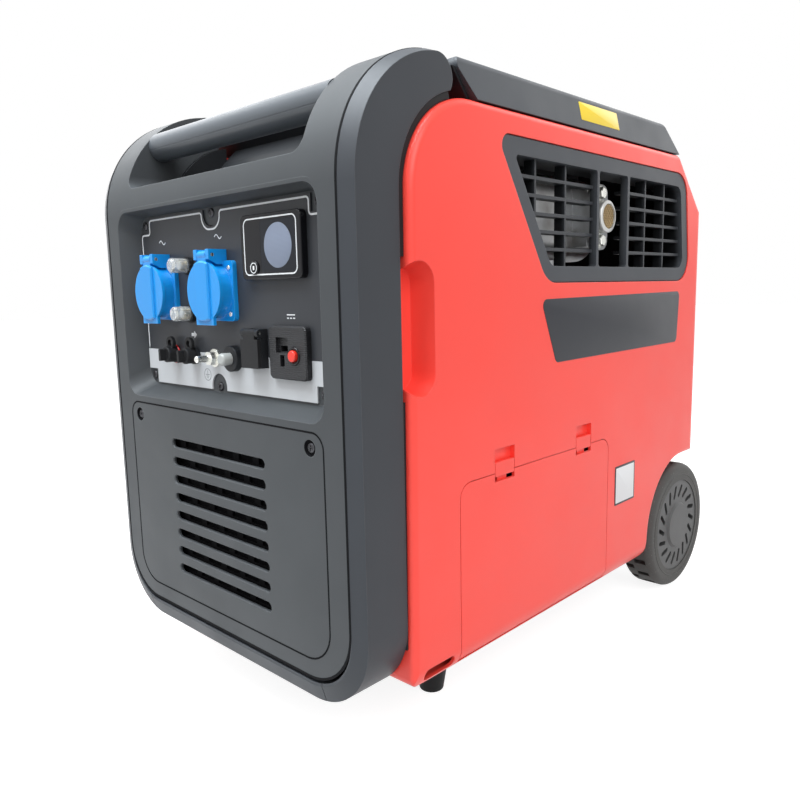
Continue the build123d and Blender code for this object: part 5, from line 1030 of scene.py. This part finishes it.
@dataclass
class PanelFittings(SubAssembly):
    """Screws, rings, sleeves, foam and films on the control panel and the intake cover."""

    head_radius: float = 4.0 * MM
    head_rise: float = 1.5 * MM
    head_rows: Places = ((1.0, 0.0), (1.0, 0.35), (0.94, 0.62), (0.80, 0.86))
    cross_half: float = 0.62 * MM
    cross_reach: float = 2.3 * MM
    cross_depth: float = 1.1 * MM
    cross_steps: int = 4
    cross_rows: Places = ((1.02, 0.0), (0.92, 0.6), (0.55, 1.0))
    plate_depth: float = 18.5
    plate_corner: Place = (126.5, 414.0, 272.5)
    plate_middle: Places = ((-13.0, 417.5), (-13.0, 269.0))
    plate_turns: Pair = (0.3, 0.7)
    cover_depth: float = 2.2
    cover_screws: Places = ((-128.0, 235.5), (128.0, 235.5))
    cover_turns: Pair = (0.5, 0.9)
    socket_depth: float = 13.0
    socket_places: Places = ((-95.0, 351.5), (-3.0, 351.5))
    socket_pitch: float = 19.0
    socket_head: float = 2.0 * MM
    socket_turns: Pair = (0.4, 0.8)
    jack_section: Pair = (1.1 * MM, 7.4 * MM)
    jack_sink: float = 1.2 * MM
    jack_height: float = 295.0
    reset_section: Pair = (1.0 * MM, 1.7 * MM)
    sleeve: Places = ((0.1, 3.8), (0.1, 4.9), (2.2, 4.9), (2.2, 4.5), (6.0, 4.5), (6.0, 3.8))
    sleeve_steps: int = 32
    # Section of the screw recess linings, painted shade: pairs of (along, radius) in millimetres.
    recess_shade_lining: Places = ((0.04, 4.0), (0.04, 6.44), (2.1, 6.44), (2.1, 6.2), (0.35, 6.0), (0.2, 4.0))
    foam_corners: Places = ((-124.0, 76.0), (124.0, 240.0))
    foam_bend: float = 20.0 * MM
    foam_depth: float = 12.4
    foam_sheet: Sheet = (3.0 * MM, 0.8 * MM)
    ink: float = 0.06 * MM
    frame_corners: Places = ((43.0, 363.5), (108.5, 406.5))
    frame_bend: float = 5.0 * MM
    frame_width: float = 1.1 * MM
    film_place: Pair = (86.0, 385.0)
    film_radius: float = 17.0 * MM
    film_steps: int = 56
    film_sheet: Sheet = (0.12 * MM, 0.06 * MM)
    mark_radius: float = 3.9 * MM
    mark_steps: int = 36
    mark_width: float = 0.7 * MM
    mark_bar: Pair = (1.0 * MM, 1.6 * MM)
    mark_bend: float = 0.3 * MM

    def screw(self, surface: Surface, centre: Pair, level: float, radius: float, turn: float) -> None:
        """Add one pan head with a cross recess.

        The head is a ring of loops at the angles of the cross outline's own points: foot, shoulder,
        dome, then the cross at the crown and again, drawn in, at its floor.

        Args:
            surface: Where the faces go.
            centre: Place of the head on the front.
            level: Place along Y of the face that it sits on.
            radius: Radius of the head.
            turn: Angle of the cross.
        """
        scale = radius / self.head_radius
        arm, half = self.cross_reach * scale, self.cross_half * scale
        quarter = np.array([[half, half], [half, arm], [-half, arm]])
        corners = np.concatenate([quarter @ rotation(number * math.pi / 2).T for number in range(4)])
        share = np.linspace(0.0, 1.0, self.cross_steps, endpoint=False)[None, :, None]
        following = np.roll(corners, -1, axis=0)
        cross = (corners[:, None] * (1.0 - share) + following[:, None] * share).reshape(-1, 2)
        rim = radius * cross / np.linalg.norm(cross, axis=1, keepdims=True)
        rise, depth = self.head_rise * scale, self.cross_depth * scale
        rows = [(rim * wide, rise * high) for wide, high in self.head_rows]
        rows += [(cross * wide, rise - depth * deep) for wide, deep in self.cross_rows]
        plane, spin = Plane(Facing.FRONT, level), rotation(turn)
        loops = [plane.place(loop @ spin.T + np.array(centre), height) for loop, height in rows]
        surface.skin(np.stack(loops))

    def screws(self) -> None:
        """Cross-head screws of the plate, the intake cover and the socket flanges."""
        dark, bright = Surface(), Surface()
        reach, top, foot = self.plate_corner
        plate = ((-reach, top), (reach, top), (-reach, foot), (reach, foot), *self.plate_middle)
        groups = [
            (dark, plate, self.plate_depth, self.head_radius, self.plate_turns),
            (dark, self.cover_screws, self.cover_depth, self.head_radius, self.cover_turns),
        ]
        ends = (-self.socket_pitch, self.socket_pitch)
        for across, up in self.socket_places:
            flange = [(across + x, up + z) for z in ends for x in ends]
            groups.append((bright, flange, self.socket_depth, self.socket_head, self.socket_turns))
        for surface, places, depth, radius, (first, more) in groups:
            for number, place in enumerate(self.datum.on_front(*places)):
                self.screw(surface, place, self.datum.back(depth), radius, first + more * number)
        heads = self.add(dark, "panel_screws", "zinc_steel", "black_screw")
        self.add(bright, "socket_screws", "zinc_steel", "zinc")
        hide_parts("front_screws")

    def ring(
        self, name: str, slot: str, finish: str, section: Loop, centres: list[Place], steps: int = RING_STEPS
    ) -> None:
        """Make a piece of rings that face the front: a closed section turned about each centre.

        Args:
            name: Name of the piece.
            slot: Material slot of the record that it belongs to.
            finish: Name of its material.
            section: Pairs of (along, radius).
            centres: Where the rings' axes start.
            steps: Points round the turn.
        """
        surface = Surface()
        for centre in centres:
            surface.turned(section, Vector(centre), OUTWARD, steps)
        self.add(surface, name, slot, finish)

    def rings(self) -> None:
        """Ring under the left jack's cap, collar of the reset button, sleeves of the breakers, and dark
        linings that paint shade in the cover's screw recesses.
        """
        wire, radius = self.jack_section
        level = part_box("parallel_jacks")[0].y + self.jack_sink
        place = (middle(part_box("jack_cap_left")).x, level, self.datum.up(self.jack_height))
        self.ring("jack_ring", "button_red", "ring_red", circle(wire, WIRE_STEPS) + [0.0, radius], [place])
        wire, gap = self.reset_section
        low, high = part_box("dc_reset_button")
        centre = middle((low, high))
        section = circle(wire, WIRE_STEPS) + [0.0, 0.5 * (high.x - low.x) + gap]
        place = (centre.x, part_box("dc_outlet")[0].y, centre.z)
        self.ring("reset_ring", "black_plastic", "bezel_black", section, [place])
        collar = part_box("breaker_boots")[1].y
        buttons = [middle(box) for box in (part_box("breaker_button_lower"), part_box("breaker_button_upper"))]
        places = [(button.x, collar, button.z) for button in buttons]
        section = np.array(self.sleeve) * MM
        self.ring("boot_sleeves", "zinc_steel", "brass", section, places, self.sleeve_steps)
        # Painted shade: near-black linings in the intake cover's screw recesses.
        level = self.datum.back(self.cover_depth)
        places = [(across, level, up) for across, up in self.datum.on_front(*self.cover_screws)]
        self.ring("screw_cups", "black_plastic", "screen_black", np.array(self.recess_shade_lining) * MM, places)

    def foam(self) -> None:
        """Sheet of filter foam behind the intake screen."""
        surface = Surface()
        loop = box_loop(*self.datum.on_front(*self.foam_corners), self.foam_bend)
        surface.plate(loop, Plane(Facing.FRONT, self.datum.back(self.foam_depth)), *self.foam_sheet)
        self.add(surface, "filter_foam", "black_plastic", "foam_black")

    def display(self) -> None:
        """White frame line, frosted round film and button mark on the display."""
        lines, film, mark = Surface(), Surface(), Surface()
        loop = box_loop(*self.datum.on_front(*self.frame_corners), self.frame_bend)
        lines.line(loop, Plane(Facing.FRONT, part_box("display_bezel")[0].y), self.frame_width, self.ink)
        self.add(lines, "display_line", "panel_plate", "ink_white")
        loop = circle(self.film_radius, self.film_steps, self.datum.on_front(self.film_place)[0])
        film.plate(loop, Plane(Facing.FRONT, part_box("display_lens")[0].y), *self.film_sheet, INK_FOOT)
        self.add(film, "display_film", "lens_clear", "film_frost")
        low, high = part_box("display_button")
        centre, plane = middle((low, high)), Plane(Facing.FRONT, low.y)
        half, reach = self.mark_bar
        loop = circle(self.mark_radius, self.mark_steps, (centre.x, centre.z))
        mark.line(loop, plane, self.mark_width, self.ink)
        foot, crown = (centre.x - half, centre.z - reach), (centre.x + half, centre.z + reach)
        mark.plate(box_loop(foot, crown, self.mark_bend), plane, self.ink, INK_FOOT, INK_FOOT)
        self.add(mark, "button_mark", "panel_plate", "ink_white", Body.DISPLAY_BUTTON)

    def build(self) -> None:
        """Make all the fittings."""
        self.screws()
        self.rings()
        self.foam()
        self.display()


@dataclass
class PanelGapStrips(SubAssembly):
    """Black strips that fill the gap between each cheek and its side panel."""

    outer: float = 178.6 * MM
    low_inner: float = 168.0 * MM
    arch_inner: float = 128.6 * MM
    cheek_depth: float = 46.3
    panel_depth: Pair = (47.55, 51.75)
    panel_height: Pair = (44.0, 419.0)
    corner: Pair = (124.0, 419.0)
    radii: Pair = (77.7, 72.3)
    arch_angles: Pair = (180.0, 106.0)
    runs: Places = ((76.0, 268.0), (373.0, 419.0))
    run_steps: int = 6

    def build(self) -> None:
        """Make the strips of both sides: straight runs below and above the grip scoop, then the arch."""
        arches = [arc(self.corner, radius, self.arch_angles) for radius in self.radii]
        for side, name in ((1.0, "right"), (-1.0, "left")):
            surface = Surface()
            for low, high in self.runs:
                height = np.linspace(low, high, self.run_steps)
                front = np.stack([np.full_like(height, self.cheek_depth), height], axis=-1)
                rear = np.stack([np.interp(height, self.panel_height, self.panel_depth), height], axis=-1)
                surface.strip(self.datum, front, rear, (side * self.low_inner, side * self.outer))
            surface.strip(self.datum, *arches, (side * self.arch_inner, side * self.outer))
            self.add(surface, f"panel_gap_strip_{name}", "grip_rubber", "soft_rubber")


@dataclass
class FrontSeamShade(SubAssembly):
    """Black strips in the seams round the fascia and round the intake cover, painting the seams' shadow."""

    rise: float = 0.1 * MM
    fascia_half: float = 165.975
    fascia_foot: float = 52.525
    fascia_radius: float = 48.475 * MM
    fascia_width: float = 2.2 * MM
    fascia_steps: int = 14
    line_end: float = 0.01 * MM
    arch_centre: Pair = (100.0, 424.0)
    arch_radii: Pair = (100.1, 99.0)
    arch_angles: Pair = (180.0, 97.0)
    cover_half: float = 143.475
    cover_height: Pair = (67.525, 247.475)
    cover_radii: Pair = (28.475 * MM, 12.475 * MM)
    cover_width: float = 1.5 * MM
    cover_steps: int = 12

    def build(self) -> None:
        """Make the painted seam shadow: lines on the front, then the fascia's two runs over the arch."""
        surface, plane = Surface(), Plane(Facing.FRONT, self.datum.front)
        half, foot, top = self.fascia_half, self.fascia_foot, self.arch_centre[1]
        corners = self.datum.on_front((-half, top), (-half, foot), (half, foot), (half, top))
        radii = [self.line_end, self.fascia_radius, self.fascia_radius, self.line_end]
        path = rounded(corners, radii, self.fascia_steps)
        surface.line(path, plane, self.fascia_width, self.rise, closed=False)
        half, (low, high) = self.cover_half, self.cover_height
        corners = self.datum.on_front((-half, low), (half, low), (half, high), (-half, high))
        path = rounded(corners, np.repeat(self.cover_radii, 2), self.cover_steps)
        surface.line(path, plane, self.cover_width, self.rise)
        arches = [arc(self.arch_centre, radius, self.arch_angles) for radius in self.arch_radii]
        reach = 0.5 * self.fascia_width
        for centre in (-self.fascia_half * MM, self.fascia_half * MM):
            surface.strip(self.datum, *arches, (centre - reach, centre + reach))
        self.add(surface, "front_beads", "black_plastic", "screen_black")


@dataclass
class SidePlates(SubAssembly):
    """Bare plate and plain labels on the right side and the top cover."""

    plate_corners: Places = ((244.0, 281.0), (501.5, 283.5), (506.0, 341.0), (219.0, 338.5))
    plate_bend: float = 6.0 * MM
    plate_sheet: Sheet = (0.35 * MM, 0.15 * MM, 0.05 * MM)
    rim_corners: Places = ((361.0, 119.0), (405.0, 161.0))
    rim_bend: float = 1.5 * MM
    rim_sheet: Sheet = (0.35 * MM, 0.1 * MM, 0.05 * MM)
    label_corners: Places = ((363.0, 121.0), (403.0, 159.0))
    label_bend: float = 1.0 * MM
    label_sheet: Sheet = (0.08 * MM, 0.04 * MM, 0.02 * MM)
    yellow_depth: Pair = (290.0, 362.0)
    yellow_height: float = 17.0 * MM
    yellow_bend: float = 0.8 * MM
    yellow_sheet: Sheet = (0.2 * MM, 0.08 * MM, 0.05 * MM)
    yellow_foot: float = 8.0 * MM
    cover_lean: float = 7.0 * MM

    def build(self) -> None:
        """Make the bare name plate, the white label on its rim and the yellow label."""
        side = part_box("right_side_panel")[1].x
        face = Plane(Facing.RIGHT, side)
        plate, rim, white, yellow = (Surface() for _ in range(4))
        loop = rounded(self.datum.on_side(*self.plate_corners), self.plate_bend)
        plate.plate(loop, face, *self.plate_sheet)
        self.add(plate, "bare_plate", "frame_grey", "film_dark")
        loop = box_loop(*self.datum.on_side(*self.rim_corners), self.rim_bend)
        rim.plate(loop, face, *self.rim_sheet)
        self.add(rim, "label_rim", "frame_grey", "film_dark")
        loop = box_loop(*self.datum.on_side(*self.label_corners), self.label_bend)
        white.plate(loop, Plane(Facing.RIGHT, side + self.rim_sheet[0]), *self.label_sheet)
        self.add(white, "bare_label", "frame_grey", "film_white")
        low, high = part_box("top_cover")
        start, end = (self.datum.back(depth) for depth in self.yellow_depth)
        loop = box_loop((start, 0.0), (end, self.yellow_height), self.yellow_bend)
        yellow.plate(loop, Plane(Facing.RIGHT, 0.0), *self.yellow_sheet)
        made = self.add(yellow, "yellow_label", "frame_grey", "film_yellow")
        lean = math.atan2(self.cover_lean, high.z - low.z)
        foot = Vector((high.x - self.yellow_foot * math.tan(lean), 0.0, low.z + self.yellow_foot))
        made.data.transform(Matrix.Translation(foot) @ Matrix.Rotation(-lean, 4, "Y"))


@dataclass
class ExhaustOutlet(SubAssembly):
    """Rounded outlet ring with bolts and a woven spark arrester behind the louvre."""

    place: Pair = (349.0, 417.0)
    ring_sink: float = 8.0 * MM
    ring_radius: float = 15.9 * MM
    mouth_radius: float = 12.2 * MM
    ring_length: float = 9.0 * MM
    ring_steps: int = 56
    lip_steps: int = 8
    lip_width: float = 0.8 * MM
    mesh_drop: float = 1.6 * MM
    wire_radius: float = 0.42 * MM
    wires: int = 10
    wire_sides: int = 6
    wire_samples: int = 4
    backing_drop: float = 3.0 * MM
    backing_steps: int = 48
    backing_sheet: Sheet = (0.6 * MM, 0.2 * MM)
    bolt_half_pitch: float = 23.0 * MM
    bolt_seat: float = 10.0 * MM
    bolt_smooth: float = 20.0
    washer_steps: int = 32
    washer: Places = ((0.02, 4.0), (0.02, 7.4), (0.9, 7.4), (0.9, 4.0))
    head_steps: int = 6
    head: Places = ((0.5, 4.0), (0.5, 5.9), (4.9, 5.9), (5.7, 5.1), (5.7, 0.01), (0.5, 0.01))

    def bolts(self, outlet: Vector) -> None:
        """Plated hexagon heads on the flange: a washer and a chamfered head turned in six steps.

        Args:
            outlet: Middle of the outlet's mouth.
        """
        surface = Surface()
        for rise in (-self.bolt_half_pitch, self.bolt_half_pitch):
            seat = outlet + Vector((-self.bolt_seat, 0.0, rise))
            for section, steps in ((self.washer, self.washer_steps), (self.head, self.head_steps)):
                surface.turned(np.array(section) * MM, seat, RIGHTWARD, steps)
        self.add(surface, "outlet_bolts", "zinc_steel", "zinc", smooth_angle=self.bolt_smooth)

    def arrester(self, centre: Vector) -> None:
        """Woven wire disc: straight wires in two directions that pass over and under by a sine.

        Args:
            centre: Middle of the disc.
        """
        surface = Surface()
        pitch = 2.0 * self.mouth_radius / (self.wires + 1)
        for number in range(self.wires):
            offset = (number - 0.5 * (self.wires - 1)) * pitch
            half = math.sqrt(self.mouth_radius**2 - offset**2)
            run = np.linspace(-half, half, self.wire_samples * self.wires)
            weave = self.wire_radius * np.sin(math.pi * run / pitch + math.pi * number)
            rise = np.full_like(run, offset)
            for across, up, lift in ((run, rise, weave), (rise, run, -weave)):
                path = np.stack([centre.x + lift, centre.y + across, centre.z + up], axis=-1)
                surface.tube(path, self.wire_radius, self.wire_sides)
        self.add(surface, "spark_arrester", "muffler_steel", "arrester_wire")

    def build(self) -> None:
        """Make the ring, the flange bolts, the arrester and its backing."""
        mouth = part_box("muffler")[1].x
        across, up = self.datum.on_side(self.place)[0]
        centre = Vector((mouth - self.ring_sink, across, up))
        lip = np.linspace(0.0, 0.5 * math.pi, self.lip_steps)
        reach = self.ring_radius - self.mouth_radius - self.lip_width
        along = self.ring_length - reach + reach * np.sin(lip)
        crown = np.stack([along, self.ring_radius - reach + reach * np.cos(lip)], axis=-1)
        wall = [[self.ring_length, self.mouth_radius], [0.0, self.mouth_radius]]
        ring, backing = Surface(), Surface()
        profile = np.concatenate([[[0.0, self.ring_radius]], crown, wall])
        ring.turned(profile, centre, RIGHTWARD, self.ring_steps)
        self.add(ring, "outlet_ring", "muffler_steel", "outlet_alloy")
        self.bolts(Vector((mouth, across, up)))
        mesh = centre.x + self.ring_length - self.mesh_drop
        self.arrester(Vector((mesh, across, up)))
        disc = circle(self.mouth_radius, self.backing_steps, (across, up))
        backing.plate(disc, Plane(Facing.RIGHT, mesh - self.backing_drop), *self.backing_sheet)
        self.add(backing, "arrester_backing", "muffler_steel", "screen_black")


@dataclass
class KnobMarks(SubAssembly):
    """White pointer on the engine knob."""

    ink: float = 0.06 * MM
    pointer_width: float = 1.6 * MM
    pointer_share: Pair = (0.45, 0.92)

    def build(self) -> None:
        """Make the pointer, along the upper half of the knob's bar."""
        low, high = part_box("engine_knob")
        centre = middle((low, high))
        ends = [(centre.y, centre.z + share * (high.z - centre.z)) for share in self.pointer_share]
        surface = Surface()
        surface.line(np.array(ends), Plane(Facing.LEFT, low.x), self.pointer_width, self.ink, closed=False)
        self.add(surface, "knob_pointer", "panel_plate", "ink_white", Body.KNOB)


@dataclass
class RunningGear(SubAssembly):
    """Raised rings on the tyres' side walls."""

    rib_radius: float = 62.0 * MM
    rib_half: float = 0.7 * MM
    rib_sink: float = 0.25 * MM
    rib_sides: int = 10
    rib_steps: int = 72

    def build(self) -> None:
        """Make one ring for each wheel's outer face."""
        section = circle(self.rib_half, self.rib_sides) + [0.0, self.rib_radius]
        wheels = ((1.0, "tyre_right", Body.RIGHT_WHEEL), (-1.0, "tyre_left", Body.LEFT_WHEEL))
        for side, node, body in wheels:
            low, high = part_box(node)
            centre = middle((low, high))
            centre.x = (high.x if side > 0.0 else low.x) - side * self.rib_sink
            surface = Surface()
            surface.turned(section, centre, side * RIGHTWARD, self.rib_steps)
            self.add(surface, f"{node}_rib", "tyre_rubber", "tyre_rubber", body)


def main() -> None:
    """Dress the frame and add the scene's own pieces."""
    logging.basicConfig(level=logging.INFO, format="%(name)s: %(message)s")
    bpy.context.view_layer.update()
    Studio().build()
    datum = Datum.read()
    finishes = Finishes(band_top=datum.up(BAND_TOP))
    finishes.dress(NODE_FINISHES)
    fronts = (PanelPrint, PanelFittings, PanelGapStrips, FrontSeamShade)
    for group in fronts + (SidePlates, ExhaustOutlet, KnobMarks, RunningGear):
        group(finishes, datum).build()


if __name__ == "__main__":
    main()
